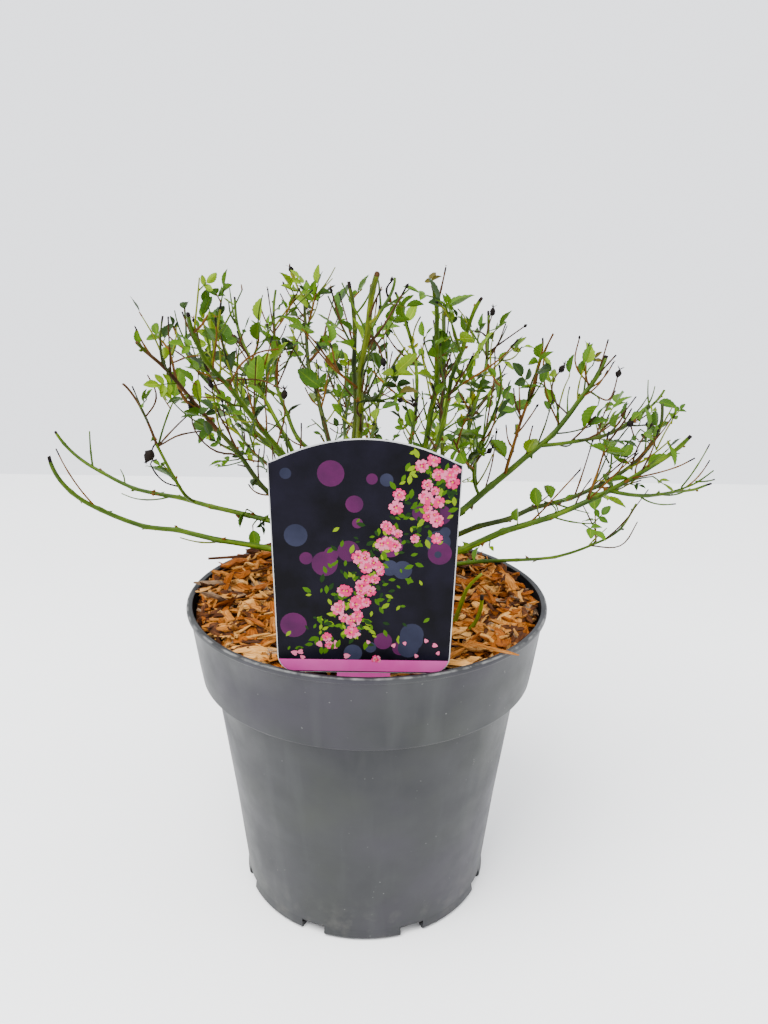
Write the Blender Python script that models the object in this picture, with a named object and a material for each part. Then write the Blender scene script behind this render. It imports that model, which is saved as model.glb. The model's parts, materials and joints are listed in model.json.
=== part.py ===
"""A rose bush in its round nursery pot, with a picture label, as separate closed solids.

Frame: metres, +Z up, origin at the centre of the pot's flat underside. The label faces -Y
and +X is on its right. Azimuths are in degrees from +X towards +Y.

The bush is a low crown with canes that rise from it. Every cane is one smooth curve, set by
where it leaves, where its tip is and how steeply it arrives there. Its first share is a bare
bough, and the rest is the stem of a mass of twigs and leaves, grown by one seeded rule.
"""
import math
import random
from typing import NamedTuple

import bmesh
import bpy
import numpy as np

GAP = 0.0003            # clearance between solids that rest on or meet each other
FLATNESS = math.radians(0.3)  # faces this close to one plane are joined
SEED = 43

# --- pot: a 19 cm nursery pot of about three litres ---------------------------------------
POT_SIDES = 40
POT_HEIGHT = 0.167
LIP_RADIUS = 0.0950
LIP_DEPTH = 0.0030
LIP_ROUNDING = 0.0010
BAND_TOP_RADIUS = 0.0934
BAND_FOOT_RADIUS = 0.0884
BAND_FOOT_HEIGHT = 0.126
STEP_RISE = 0.0005      # how much the step under the band slopes
BODY_TOP_RADIUS = 0.0820
BODY_FOOT_RADIUS = 0.0690
BASE_RADIUS = 0.0663
BASE_EDGE_HEIGHT = 0.0040
BASE_ROUNDING = 0.0008
WALL = 0.0014
FLOOR = 0.0020
DRAIN_COUNT = 8
DRAIN_WIDTH = 0.0130
DRAIN_HEIGHT = 0.0060
DRAIN_INNER_RADIUS = 0.0600
DRAIN_LENGTH = 0.0200
OVERCUT = 0.0010        # how far a cutter goes past the face that it opens
DRAIN_FIRST_AZIMUTH = 22.5

# --- fill: potting mix below, bark mulch on top ----------------------------------------------
FILL_CLEARANCE = 0.0005
STEP_CLEARANCE = 0.0007  # between the mix and the pot's wall at the step
MIX_SHOULDER = 0.1250
MIX_TOP = 0.1285
MULCH_BOTTOM = MIX_TOP + GAP
MULCH_LEVEL = 0.1590       # at the card, where it is lowest
MULCH_EDGE_DROP = 0.0008
MULCH_HEAP = 0.0066        # how much higher it lies at the back
MULCH_HEAP_AZIMUTH = 108.0
MULCH_HEAP_START = 0.030  # radius where the heap starts to rise
MULCH_LUMPS = ((0.0014, 210, 170), (0.0010, 390, 240))  # height, waves along X and along Y
PAD_BLEND = 0.010       # width over which the mulch leaves the level pad
MULCH_RINGS = 5
MULCH_SIDES = 28
CHIP_COUNT = 46
CHIP_LENGTH = (0.010, 0.026)
CHIP_WIDTH_RATIO = (0.28, 0.50)
CHIP_DEPTH = (0.0028, 0.0050)
CHIP_TILT = 16.0
CHIP_FIELD_RADIUS = 0.0760
CHIP_LIMIT_RADIUS = 0.0885
CHIP_CLEARANCE = 0.0012
GROUND = 0.1597         # level pad of mulch that the crown stands on
PAD_RADIUS = 0.0185

# --- label: a card with a spike, pushed in just inside the front of the rim ------------------
LABEL_Y = -0.0790
LABEL_THICKNESS = 0.0009
LABEL_FOOT = 0.1620
LABEL_FOOT_WIDTH = 0.0770
LABEL_SHOULDER = 0.2590
LABEL_SHOULDER_WIDTH = 0.0820
LABEL_TOP = 0.2700
LABEL_CORNER = 0.0080
SPIKE_WIDTH = 0.0240
SPIKE_TIP = 0.1320
SPIKE_POINT_HEIGHT = 0.0080
LABEL_ROOM = 0.0022     # half thickness of the space that twigs leave to the label

# --- crown: the woody knuckle at mulch level ---------------------------------------------------
CROWN_SIDES = 12
CROWN_WAIST_RADIUS = 0.0110
CROWN_BOTTOM = GROUND + GAP
CROWN_TOP = 0.1840
CROWN_PROFILE = ((0.0, 1.5), (0.17, 1.32), (0.375, 1.10), (0.58, 1.00), (0.85, 0.80), (0.97, 0.40))
                        # share of the height, radius as a share of the waist's
CROWN_LEAN = (0.0012, 0.0008)
FOOT_RADIUS = 0.0090
FOOT_HEIGHT = 0.1740
STUB_SHARE = 0.045      # least share of a cane that is its stub on the crown
STUB_DIP = 0.0035       # how far below its foot a stub is rooted in the crown
STUB_FLARE = 1.15
BOUGH_STEP = 0.0110
STUB_ROOM = 0.0010      # room between a cane and its neighbours where its own solid starts

# --- growth rule of the masses ----------------------------------------------------------------
BOUGH_SIDES = 5
STEM_SIDES = 5
STEM_STEP = 0.0150
TWIG_SIDES = 3
CLEARANCE = 0.0005      # kept between pieces of different nodes
BUD_TURN = 144.0        # buds stand two fifths of a turn apart, as on any rose
NODE_SPACING = 0.0112
TWIG_SHARE = 0.60       # share of a stem's buds that grow into twigs
TWIG_LENGTH = (0.015, 0.036)
TWIG_DIAMETER = (0.0013, 0.0008)
TWIG_NODE = 0.0105
TWIG_SPLAY = (38, 58)   # angle between twig and stem
TWIG_LIFT = (0.3, 0.9)  # how strongly a twig turns upwards
LEAF_LENGTH = (0.0110, 0.0180)
LEAF_WIDTH_RATIO = 0.60
LEAF_THICKNESS = 0.0006
LEAF_ROOT = 0.0003      # half size of the root that is sunk in the twig
LEAF_SHARE = 0.82
LEAF_SPLAY = (45, 70)
LEAF_ROLL = 55
TIP_SINK = 0.0007       # how far a leaf at a tip is sunk in it
HIP_SHARE = 0.16        # share of twigs that end in a dried flower head
HIP_DIAMETER = 0.0042
HIP_SINK = 0.0009
SPREAD = 0.034          # a mass keeps this close to its stem
TIP_MARGIN = 0.004
CROWN_REACH = 0.178
CROWN_HEIGHT = 0.3385
LOWEST_TWIG = 0.1740


class Cane(NamedTuple):
    """One cane, from its foot to its tip.

    parent is "crown" or the cane that it forks from. at is the foot's azimuth on the crown,
    or the share of the parent's length where it forks. leaves and arrives are the azimuth and
    elevation of its first and last stretch. tip is the tip's azimuth, its reach from the
    pot's axis and its height. thick is the diameter at foot and tip. bare is the share of the
    length that is a bare bough; at 0 the whole cane is the stem of its mass. vigour is how
    readily its buds grow, at 1 as the growth rule says.
    """

    name: str
    parent: str
    at: float
    leaves: tuple
    tip: tuple
    arrives: tuple
    thick: tuple
    bare: float
    vigour: float


CANES = (
    Cane("low_left", "crown", 188, (182, 39), (187, 0.157, 0.245), (248, 78), (0.0036, 0.0020), 0.50, 0.2),
    Cane("long_left", "crown", 166, (165, 58), (167, 0.179, 0.244), (173, 60), (0.0035, 0.0017), 0.58, 0.3),
    Cane("upper_left", "crown", 203, (200, 47), (196, 0.110, 0.302), (248, 34), (0.0034, 0.0016), 0.56, 1.0),
    Cane("mid_left", "crown", 146, (145, 82), (159, 0.113, 0.302), (132, 54), (0.0037, 0.0016), 0.55, 1.0),
    Cane("front_left", "crown", 232, (232, 82), (213, 0.092, 0.317), (283, 38), (0.0037, 0.0020), 0.55, 1.1),
    Cane("centre_front", "crown", 268, (260, 50), (273, 0.080, 0.336), (282, 38), (0.0045, 0.0023), 0.56, 0.8),
    Cane("back_left", "crown", 112, (114, 68), (109, 0.127, 0.322), (82, 56), (0.0039, 0.0016), 0.50, 1.0),
    Cane("centre_back", "crown", 88, (90, 80), (79, 0.102, 0.285), (37, 46), (0.0036, 0.0015), 0.50, 1.0),
    Cane("back_right", "crown", 52, (51, 20), (53, 0.112, 0.308), (96, 60), (0.0036, 0.0016), 0.50, 1.0),
    Cane("right_high", "crown", 8, (7, 51), (14, 0.128, 0.291), (29, 65), (0.0044, 0.0023), 0.56, 0.8),
    Cane("main_right", "crown", 340, (345, 36), (349, 0.155, 0.262), (327, 52), (0.0043, 0.0020), 0.62, 1.0),
    Cane("twin_right", "crown", 22, (21, 42), (11, 0.159, 0.266), (98, 71), (0.0036, 0.0017), 0.52, 1.0),
    Cane("low_right", "crown", 37, (39, 6), (25, 0.178, 0.196), (51, 48), (0.0028, 0.0012), 0.48, 0.3),
    Cane("upright_right", "crown", 304, (305, 50), (299, 0.057, 0.330), (255, 38), (0.0038, 0.0019), 0.58, 0.9),
    Cane("back_low_left", "crown", 132, (133, 46), (128, 0.150, 0.236), (118, 22), (0.0034, 0.0015), 0.48, 0.9),
    Cane("back_low", "crown", 72, (73, 48), (72, 0.158, 0.244), (82, 26), (0.0034, 0.0015), 0.48, 1.0),
    Cane("back_middle", "back_left", 0.26, (92, 38), (97, 0.156, 0.266), (94, 58), (0.0027, 0.0014), 0.42, 1.0),
    Cane("inner_left", "mid_left", 0.34, (174, 67), (146, 0.089, 0.317), (102, 68), (0.0026, 0.0014), 0.42, 1.0),
    Cane("back_left_inner", "back_left", 0.36, (188, 10), (121, 0.111, 0.318), (86, 57), (0.0026, 0.0014), 0.42, 1.0),
    Cane("centre", "centre_front", 0.36, (103, 33), (250, 0.027, 0.330), (151, 76), (0.0031, 0.0018), 0.46, 0.8),
    Cane("arched_right", "centre_back", 0.34, (0, 12), (78, 0.061, 0.320), (178, 62), (0.0026, 0.0016), 0.46, 1.0),
    Cane("dark_upright", "back_right", 0.38, (106, 78), (60, 0.081, 0.311), (91, 58), (0.0028, 0.0018), 0.46, 0.5),
    Cane("front_right", "upright_right", 0.36, (340, 62), (308, 0.077, 0.326), (296, 46), (0.0027, 0.0016), 0.46, 1.0),
    Cane("left_fork", "long_left", 0.52, (249, 23), (178, 0.124, 0.277), (218, 48), (0.0020, 0.0012), 0.0, 0.25),
    Cane("upper_left_fork", "upper_left", 0.70, (161, 9), (175, 0.106, 0.299), (169, 36), (0.0018, 0.0011), 0.0, 1.0),
    Cane("centre_fork", "centre_front", 0.78, (37, 60), (284, 0.047, 0.333), (65, 80), (0.0019, 0.0012), 0.0, 1.0),
    Cane("right_high_fork", "right_high", 0.64, (357, 5), (17, 0.170, 0.270), (23, 51), (0.0022, 0.0013), 0.0, 1.0),
    Cane("right_upright", "right_high", 0.50, (275, 70), (7, 0.087, 0.302), (236, 84), (0.0019, 0.0011), 0.0, 1.0),
    Cane("right_inner_fork", "right_high", 0.40, (215, 54), (334, 0.067, 0.294), (230, 65), (0.0018, 0.0011), 0.0, 1.0),
    Cane("main_right_fork", "main_right", 0.72, (300, 4), (3, 0.180, 0.228), (6, 17), (0.0021, 0.0013), 0.0, 0.35),
)


# --- curves and clearances ---------------------------------------------------------------------

def heading(azimuth, elevation):
    """Unit vector of an azimuth and an elevation in degrees."""
    a, e = math.radians(azimuth), math.radians(elevation)
    return np.array([math.cos(e) * math.cos(a), math.cos(e) * math.sin(a), math.sin(e)])


def polar(azimuth, reach, height):
    """Point at an azimuth in degrees, a reach from the pot's axis and a height."""
    a = math.radians(azimuth)
    return np.array([reach * math.cos(a), reach * math.sin(a), height])


class Curve:
    """A cane's axis: a cubic from foot to tip whose end slopes are its two headings."""

    def __init__(self, foot, tip, leaves, arrives, thick):
        chord = np.linalg.norm(tip - foot)
        self.foot, self.tip = foot, tip
        self.first, self.last = heading(*leaves) * chord, heading(*arrives) * chord
        self.radii = (thick[0] / 2, thick[1] / 2)
        self.length = float(np.linalg.norm(np.diff(self.points(0, 1, 60), axis=0), axis=1).sum())

    def at(self, share):
        """Points at the given shares of the curve, by the cubic Hermite rule."""
        t = np.atleast_1d(share)[:, None]
        rise, fall = t * t * (3 - 2 * t), t * (1 - t) ** 2
        return self.foot * (1 - rise) + self.tip * rise + self.first * fall - self.last * t * t * (1 - t)

    def points(self, start, end, count):
        """Evenly shared points from one share of the curve to another."""
        return self.at(np.linspace(start, end, count))

    def radius(self, share):
        """Radius at a share of the length: it tapers evenly."""
        return self.radii[0] + (self.radii[1] - self.radii[0]) * np.asarray(share)


def segment_distance(a, b, starts, ends):
    """Shortest distance from the segment a-b to each segment starts-ends."""
    u, v, w = b - a, ends - starts, a - starts
    uu, vv = u @ u + 1e-18, np.einsum("ij,ij->i", v, v) + 1e-18
    uv, uw, vw = v @ u, w @ u, np.einsum("ij,ij->i", v, w)
    det = uu * vv - uv * uv
    s = np.clip(np.where(det > 1e-16, (uv * vw - vv * uw) / np.maximum(det, 1e-16), 0), 0, 1)
    t = np.clip((uv * s + vw) / vv, 0, 1)
    s = np.clip((uv * t - uw) / uu, 0, 1)
    return np.linalg.norm(w + s[:, None] * u - t[:, None] * v, axis=1)


class Space:
    """Everything placed so far, as round-ended rods that each belong to a node."""

    def __init__(self):
        self.a, self.b = np.empty((0, 3)), np.empty((0, 3))
        self.radius, self.node, self.tag = np.empty(0), np.empty(0, int), np.empty(0, int)
        self.names, self.tags = [], 0

    def number(self, name):
        """Number of a node's name."""
        if name not in self.names:
            self.names.append(name)
        return self.names.index(name)

    def add(self, name, rods, tag=None):
        """Add rods (start, end, radius) of one piece of a node and give the piece's tag."""
        if tag is None:
            self.tags += 1
            tag = self.tags
        count = len(rods)
        self.a = np.vstack([self.a, [rod[0] for rod in rods]])
        self.b = np.vstack([self.b, [rod[1] for rod in rods]])
        self.radius = np.append(self.radius, [rod[2] for rod in rods])
        self.node = np.append(self.node, np.full(count, self.number(name)))
        self.tag = np.append(self.tag, np.full(count, tag))
        return tag

    def is_free(self, rods, name, beside=(), clearance=CLEARANCE, nearby=0.05):
        """Whether rods of a node keep clear of all pieces but those with the tags in beside."""
        others = ~np.isin(self.tag, list(beside))
        middle = np.mean([(rod[0] + rod[1]) / 2 for rod in rods], axis=0)
        half = np.linalg.norm(self.b - self.a, axis=1) / 2
        near = np.linalg.norm((self.a + self.b) / 2 - middle, axis=1) < half + nearby
        pick = others & near
        if not pick.any():
            return True
        for start, end, radius in rods:
            room = segment_distance(start, end, self.a[pick], self.b[pick]) - self.radius[pick] - radius
            if (room < clearance).any():
                return False
        return True


def rods_along(points, radii):
    """Rods between following points, each with the wider of its two end radii."""
    return [(points[i], points[i + 1], max(radii[i], radii[i + 1])) for i in range(len(points) - 1)]


# --- canes ---------------------------------------------------------------------------------------

def cane_curves():
    """Curve of each cane by name."""
    curves = {}
    for cane in CANES:
        if cane.parent == "crown":
            foot = polar(cane.at, FOOT_RADIUS, FOOT_HEIGHT)
        else:
            foot = curves[cane.parent].at(cane.at)[0]
        curves[cane.name] = Curve(foot, polar(*cane.tip), cane.leaves, cane.arrives, cane.thick)
    return curves


def ring_points(centre, tangent, radius, sides, spin=0.0):
    """Corners of a regular ring of the given radius, square to the tangent."""
    across = np.cross(tangent, (0.0, 0.0, 1.0) if abs(tangent[2]) < 0.9 else (1.0, 0.0, 0.0))
    across /= np.linalg.norm(across)
    other = np.cross(tangent, across)
    turn = np.linspace(0, 2 * math.pi, sides, endpoint=False) + spin
    return centre + radius * (np.outer(np.cos(turn), across) + np.outer(np.sin(turn), other))


def tangents(points):
    """Unit tangents of a line of points."""
    step = np.gradient(points, axis=0)
    return step / np.linalg.norm(step, axis=1)[:, None]


def start_share(cane, curves):
    """Share of a cane where its own solid starts, clear of the crown's stubs or of its parent."""
    curve = curves[cane.name]
    shares = np.linspace(0, 0.45, 181)
    axis = curve.at(shares)
    if cane.parent == "crown":
        rivals = [c for c in CANES if c.parent == "crown" and c.name != cane.name]
        room = STUB_ROOM
        last_blocked = int(np.searchsorted(shares, STUB_SHARE))
    else:
        rivals = [c for c in CANES if c.name == cane.parent]
        room = GAP
        last_blocked = 0
    headings = tangents(axis)
    for rival in rivals:
        other = curves[rival.name]
        line = np.linspace(0, 1, 161)
        points, radii = other.at(line), other.radius(line)
        for index in range(last_blocked + 1, len(shares)):
            rim = ring_points(axis[index], headings[index], curve.radius(shares[index]), BOUGH_SIDES)
            apart = min(
                (segment_distance(corner, corner + 1e-6, points[:-1], points[1:]) - radii[:-1]).min()
                for corner in rim
            )
            if apart < room:
                last_blocked = index
            elif index > last_blocked + 24:
                break
    return float(shares[min(last_blocked + 1, len(shares) - 1)])


# --- growth of a mass ----------------------------------------------------------------------------

class Twig(NamedTuple):
    """A twig: its axis points and the radius at each."""

    points: np.ndarray
    radii: np.ndarray


class Leaf(NamedTuple):
    """A leaf: its root, direction, face normal, length and width."""

    root: np.ndarray
    along: np.ndarray
    face: np.ndarray
    length: float
    width: float


def unit(vector):
    """The vector at length one."""
    return vector / np.linalg.norm(vector)


def off_axis(tangent, turn, splay):
    """Direction that leans from the tangent by splay degrees, at a turn about it in degrees."""
    across = unit(np.cross(tangent, (0.0, 0.0, 1.0) if abs(tangent[2]) < 0.95 else (1.0, 0.0, 0.0)))
    other = np.cross(tangent, across)
    a, s = math.radians(turn), math.radians(splay)
    return math.cos(s) * tangent + math.sin(s) * (math.cos(a) * across + math.sin(a) * other)


def twig_path(root, direction, length, lift, count=3):
    """Points of a twig that sets off in a direction and turns upwards by its lift."""
    steps = np.linspace(0, 1, count)
    headings = [unit(direction + lift * u * np.array([0.0, 0.0, 1.0])) for u in (steps[:-1] + steps[1:]) / 2]
    return np.vstack([root, root + np.cumsum(np.array(headings) * length / (count - 1), axis=0)])


def leaf_rods(leaf):
    """Rods that hold a leaf's blade: its midrib and its two edges."""
    side = np.cross(leaf.face, leaf.along)
    middle = (leaf.root + leaf.along * leaf.length * 0.25, leaf.root + leaf.along * leaf.length)
    rods = [(middle[0], middle[1], LEAF_THICKNESS)]
    for sign in (-1, 1):
        edge = leaf.root + side * sign * leaf.width * 0.34
        rods.append((edge + leaf.along * leaf.length * 0.38,
                     edge + leaf.along * leaf.length * 0.62, leaf.width * 0.14))
    return rods


class Mass:
    """Twigs, leaves and dried heads that one stem grows, kept to the stem's own space."""

    def __init__(self, cane, curve, start, space, index):
        self.name = cane.name + "_foliage"
        self.rng = random.Random(SEED * 1000 + index)
        self.space = space
        count = max(4, int(round(curve.length * (1 - start) / STEM_STEP)))
        shares = np.linspace(start, 1, count)
        self.stem = Twig(curve.at(shares), curve.radius(shares))
        self.twigs, self.leaves, self.heads = [], [], []
        self.tip_heading = unit(curve.last)
        self.reach = min(CROWN_REACH, np.linalg.norm(self.stem.points[:, :2], axis=1).max() + TIP_MARGIN)
        self.vigour = cane.vigour
        self.stem_tag = None

    def claim_stem(self):
        """Place the stem, before anything grows on it."""
        self.stem_tag = self.space.add(self.name, rods_along(self.stem.points, self.stem.radii))

    def within(self, point):
        """Whether a point lies in the mass's own space and in the crown's outline."""
        from_stem = segment_distance(point, point + 1e-6, self.stem.points[:-1], self.stem.points[1:]).min()
        ahead = (point - self.stem.points[-1]) @ self.tip_heading
        return (from_stem < SPREAD and ahead < TIP_MARGIN and math.hypot(point[0], point[1]) < self.reach
                and LOWEST_TWIG < point[2] < CROWN_HEIGHT)

    def nodes(self, points, spacing, first):
        """Bud places along a line of points: position, tangent and share of the line."""
        steps = np.linalg.norm(np.diff(points, axis=0), axis=1)
        run = np.append(0, np.cumsum(steps))
        places = np.arange(first, run[-1] - 0.002, spacing)
        headings = tangents(points)
        for place in places:
            yield (np.array([np.interp(place, run, points[:, k]) for k in range(3)]),
                   unit(np.array([np.interp(place, run, headings[:, k]) for k in range(3)])),
                   place / run[-1])

    def grow(self):
        """Grow the twigs from the stem's buds, and the leaves on stem and twigs."""
        rng = self.rng
        turn = rng.uniform(0, 360)
        for root, tangent, share in self.nodes(self.stem.points, NODE_SPACING, 0.005):
            turn += BUD_TURN + rng.uniform(-14, 14)
            if rng.random() < TWIG_SHARE * self.vigour:
                self.grow_twig(root, tangent, turn, share)
            elif rng.random() < LEAF_SHARE * self.vigour:
                self.grow_leaf(root, off_axis(tangent, turn, rng.uniform(*LEAF_SPLAY)), (self.stem_tag,))
        if rng.random() < self.vigour:
            self.grow_leaf(self.stem.points[-1] - tangent * TIP_SINK, off_axis(tangent, turn, LEAF_SPLAY[0] / 2),
                           (self.stem_tag,))

    def grow_twig(self, root, tangent, turn, share):
        """Grow one twig, leaves along it and a dried head or a leaf at its end."""
        rng = self.rng
        length = rng.uniform(*TWIG_LENGTH) * (1.1 - 0.45 * share)
        path = twig_path(root, off_axis(tangent, turn, rng.uniform(*TWIG_SPLAY)), length,
                         rng.uniform(*TWIG_LIFT))
        radii = np.linspace(TWIG_DIAMETER[0], TWIG_DIAMETER[1], len(path)) / 2
        rods = rods_along(path, radii)
        if not all(self.within(point) for point in path[1:]):
            return
        if not self.space.is_free(rods, self.name, (self.stem_tag,)):
            return
        tag = self.space.add(self.name, rods)
        self.twigs.append(Twig(path, radii))
        for spot, direction, _ in self.nodes(path, TWIG_NODE, TWIG_NODE):
            turn += BUD_TURN
            if rng.random() < LEAF_SHARE * self.vigour:
                self.grow_leaf(spot, off_axis(direction, turn, rng.uniform(*LEAF_SPLAY)),
                               (tag, self.stem_tag))
        end_heading = tangents(path)[-1]
        if rng.random() < HIP_SHARE:
            self.grow_head(path[-1], end_heading, tag)
        elif rng.random() < self.vigour:
            self.grow_leaf(path[-1] - end_heading * TIP_SINK, end_heading, (tag,))

    def grow_leaf(self, root, direction, beside):
        """Grow one leaf whose face turns up, unless it would leave the space or touch something."""
        length = self.rng.uniform(*LEAF_LENGTH)
        roll = math.radians(self.rng.uniform(-LEAF_ROLL, LEAF_ROLL))
        face = unit(np.array([0.0, 0.0, 1.0]) - direction * direction[2])
        face = math.cos(roll) * face + math.sin(roll) * np.cross(face, direction)
        leaf = Leaf(root, direction, face, length, length * LEAF_WIDTH_RATIO)
        rods = leaf_rods(leaf)
        if not all(self.within(rod[1]) for rod in rods):
            return
        if not self.space.is_free(rods, self.name, beside):
            return
        if not self.space.is_free(rods[1:], self.name, (), clearance=GAP):
            return
        self.space.add(self.name, rods)
        self.leaves.append(leaf)

    def grow_head(self, root, direction, tag):
        """Grow a dried flower head on a twig's end."""
        end = root + direction * HIP_DIAMETER
        rods = [(root, end, HIP_DIAMETER / 2)]
        if self.within(end) and self.space.is_free(rods, self.name, (tag,)):
            self.space.add(self.name, rods)
            self.heads.append((root, direction))


# --- meshes --------------------------------------------------------------------------------------

def clear_scene():
    """Take every object and mesh out of the open file."""
    for item in list(bpy.data.objects):
        bpy.data.objects.remove(item, do_unlink=True)


def make_material(name, colour, roughness):
    """A Principled material of one colour and roughness."""
    material = bpy.data.materials.new(name)
    material.use_nodes = True
    shader = material.node_tree.nodes["Principled BSDF"]
    shader.inputs["Base Color"].default_value = (*colour, 1.0)
    shader.inputs["Roughness"].default_value = roughness
    shader.inputs["Metallic"].default_value = 0.0
    return material


def new_object(name, vertices, faces, material=None):
    """Link a mesh object made of vertices and faces, facing outwards."""
    mesh = bpy.data.meshes.new(name)
    mesh.from_pydata([tuple(float(c) for c in v) for v in vertices], [], faces)
    work = bmesh.new()
    work.from_mesh(mesh)
    bmesh.ops.recalc_face_normals(work, faces=work.faces)
    bmesh.ops.triangulate(work, faces=work.faces)
    work.to_mesh(mesh)
    work.free()
    item = bpy.data.objects.new(name, mesh)
    bpy.context.scene.collection.objects.link(item)
    if material:
        mesh.materials.append(material)
    return item


def turned(name, profile, sides, material=None):
    """A closed solid turned about Z from a profile of (radius, height) that starts and ends on it."""
    work = bmesh.new()
    line = [work.verts.new((radius, 0.0, height)) for radius, height in profile]
    edges = [work.edges.new((line[i], line[i + 1])) for i in range(len(line) - 1)]
    bmesh.ops.spin(work, geom=line + edges, axis=(0, 0, 1), cent=(0, 0, 0),
                   angle=2 * math.pi, steps=sides, use_merge=True)
    bmesh.ops.remove_doubles(work, verts=work.verts, dist=1e-6)
    bmesh.ops.recalc_face_normals(work, faces=work.faces)
    mesh = bpy.data.meshes.new(name)
    work.to_mesh(mesh)
    work.free()
    item = bpy.data.objects.new(name, mesh)
    bpy.context.scene.collection.objects.link(item)
    if material:
        mesh.materials.append(material)
    return item


def tube(name, points, radii, sides, material=None):
    """A closed tube along points, with a flat cap at each end."""
    headings = tangents(points)
    vertices = np.vstack([ring_points(p, h, r, sides) for p, h, r in zip(points, headings, radii)])
    faces = [tuple(reversed(range(sides))), tuple(range(len(vertices) - sides, len(vertices)))]
    for ring in range(len(points) - 1):
        for corner in range(sides):
            a, b = ring * sides + corner, ring * sides + (corner + 1) % sides
            faces.append((a, b, b + sides, a + sides))
    return new_object(name, vertices, faces, material)


def box(name, centre, along, across, size, material=None):
    """A block of the given length, width and height along two given directions."""
    up = np.cross(along, across)
    corners = [centre + x * size[0] / 2 * along + y * size[1] / 2 * across + z * size[2] / 2 * up
               for x in (-1, 1) for y in (-1, 1) for z in (-1, 1)]
    faces = [(0, 1, 3, 2), (4, 6, 7, 5), (0, 4, 5, 1), (2, 3, 7, 6), (0, 2, 6, 4), (1, 5, 7, 3)]
    return new_object(name, corners, faces, material)


def leaf_blade(leaf):
    """A leaf of ten faces: flat above, keeled below, with a thick root sunk in its twig."""
    side = np.cross(leaf.face, leaf.along)
    middle = leaf.root + leaf.along * leaf.length * 0.45
    root = leaf.root - leaf.along * LEAF_ROOT * 0.5
    corners = [root + (leaf.face * 0.5 + side) * LEAF_ROOT, root + (leaf.face * 0.5 - side) * LEAF_ROOT,
               root - leaf.face * LEAF_ROOT, middle + side * leaf.width / 2, middle - side * leaf.width / 2,
               middle - leaf.face * LEAF_THICKNESS, leaf.root + leaf.along * leaf.length]
    faces = [(0, 1, 2), (0, 3, 4), (0, 4, 1), (3, 6, 4), (0, 2, 5), (0, 5, 3), (1, 5, 2), (1, 4, 5),
             (3, 5, 6), (4, 6, 5)]
    return new_object("leaf", corners, faces)


def dried_head(root, direction):
    """A dried flower head as a double pyramid of eight faces that holds its twig's end."""
    centre = root + direction * HIP_DIAMETER * 0.45
    ring = ring_points(centre, direction, HIP_DIAMETER / 2, 4, 0.4)
    corners = [root - direction * HIP_SINK, *ring, root + direction * HIP_DIAMETER * 1.1]
    faces = [(0, k + 1, (k + 1) % 4 + 1) for k in range(4)] + [(5, (k + 1) % 4 + 1, k + 1) for k in range(4)]
    return new_object("head", corners, faces)


def boolean(item, others, operation):
    """Join or cut an object with others by one applied Boolean, then take the others away.

    The exact solver is used, and the manifold one where the exact one doesn't leave one closed body.
    """
    group = bpy.data.collections.new("cutters")
    bpy.context.scene.collection.children.link(group)
    for other in others:
        group.objects.link(other)
    modifier = item.modifiers.new(operation, "BOOLEAN")
    modifier.operation = operation
    modifier.operand_type = "COLLECTION"
    modifier.collection = group
    for solver in ("EXACT", "MANIFOLD"):
        modifier.solver = solver
        bpy.context.view_layer.update()
        result = bpy.data.meshes.new_from_object(item.evaluated_get(bpy.context.evaluated_depsgraph_get()))
        if is_one_body(result):
            break
    item.modifiers.clear()
    item.data = result
    for other in others:
        bpy.data.objects.remove(other, do_unlink=True)
    bpy.data.collections.remove(group)


def is_one_body(mesh):
    """Whether a mesh hangs together and every edge of it has a face on both sides."""
    work = bmesh.new()
    work.from_mesh(mesh)
    closed = all(len(edge.link_faces) == 2 for edge in work.edges)
    start = next(iter(work.verts))
    reached, front = {start}, [start]
    while front:
        for edge in front.pop().link_edges:
            for vert in edge.verts:
                if vert not in reached:
                    reached.add(vert)
                    front.append(vert)
    whole = len(reached) == len(work.verts)
    work.free()
    return closed and whole


def islands(work):
    """Groups of faces that hang together."""
    left = set(work.faces)
    while left:
        group, edge = set(), [left.pop()]
        while edge:
            face = edge.pop()
            group.add(face)
            for side in face.edges:
                for other in side.link_faces:
                    if other in left:
                        left.discard(other)
                        edge.append(other)
        yield group


def tidy_mesh(item):
    """Weld, drop loose scraps and cut the faces into triangles, as few as stay one closed skin."""
    for flatness in (FLATNESS, 0.0):
        work = bmesh.new()
        work.from_mesh(item.data)
        bmesh.ops.remove_doubles(work, verts=work.verts, dist=1e-7)
        groups = sorted(islands(work), key=len)
        scraps = [face for group in groups[:-1] for face in group]
        bmesh.ops.delete(work, geom=scraps, context="FACES")
        if flatness:
            bmesh.ops.dissolve_limit(work, angle_limit=flatness, verts=work.verts, edges=work.edges)
        bmesh.ops.triangulate(work, faces=work.faces)
        closed = all(len(edge.link_faces) == 2 for edge in work.edges)
        if closed or not flatness:
            work.to_mesh(item.data)
        work.free()
        if closed:
            return


def shade(item, angle=35.0):
    """Shade a piece smooth, with sharp edges past the angle."""
    item.data.shade_smooth()
    item.data.set_sharp_from_angle(angle=math.radians(angle))


# --- pot, fill and label ---------------------------------------------------------------------------

def inner_radius(height):
    """Radius that fits inside the flats of the pot's inner wall at a height."""
    heights = (FLOOR, BASE_EDGE_HEIGHT, BAND_FOOT_HEIGHT - WALL, BAND_FOOT_HEIGHT + STEP_RISE, POT_HEIGHT)
    radii = (BASE_RADIUS - WALL, BODY_FOOT_RADIUS - WALL, BODY_TOP_RADIUS - WALL,
             BAND_FOOT_RADIUS - WALL, BAND_TOP_RADIUS - WALL)
    return float(np.interp(height, heights, radii)) * math.cos(math.pi / POT_SIDES)


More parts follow.
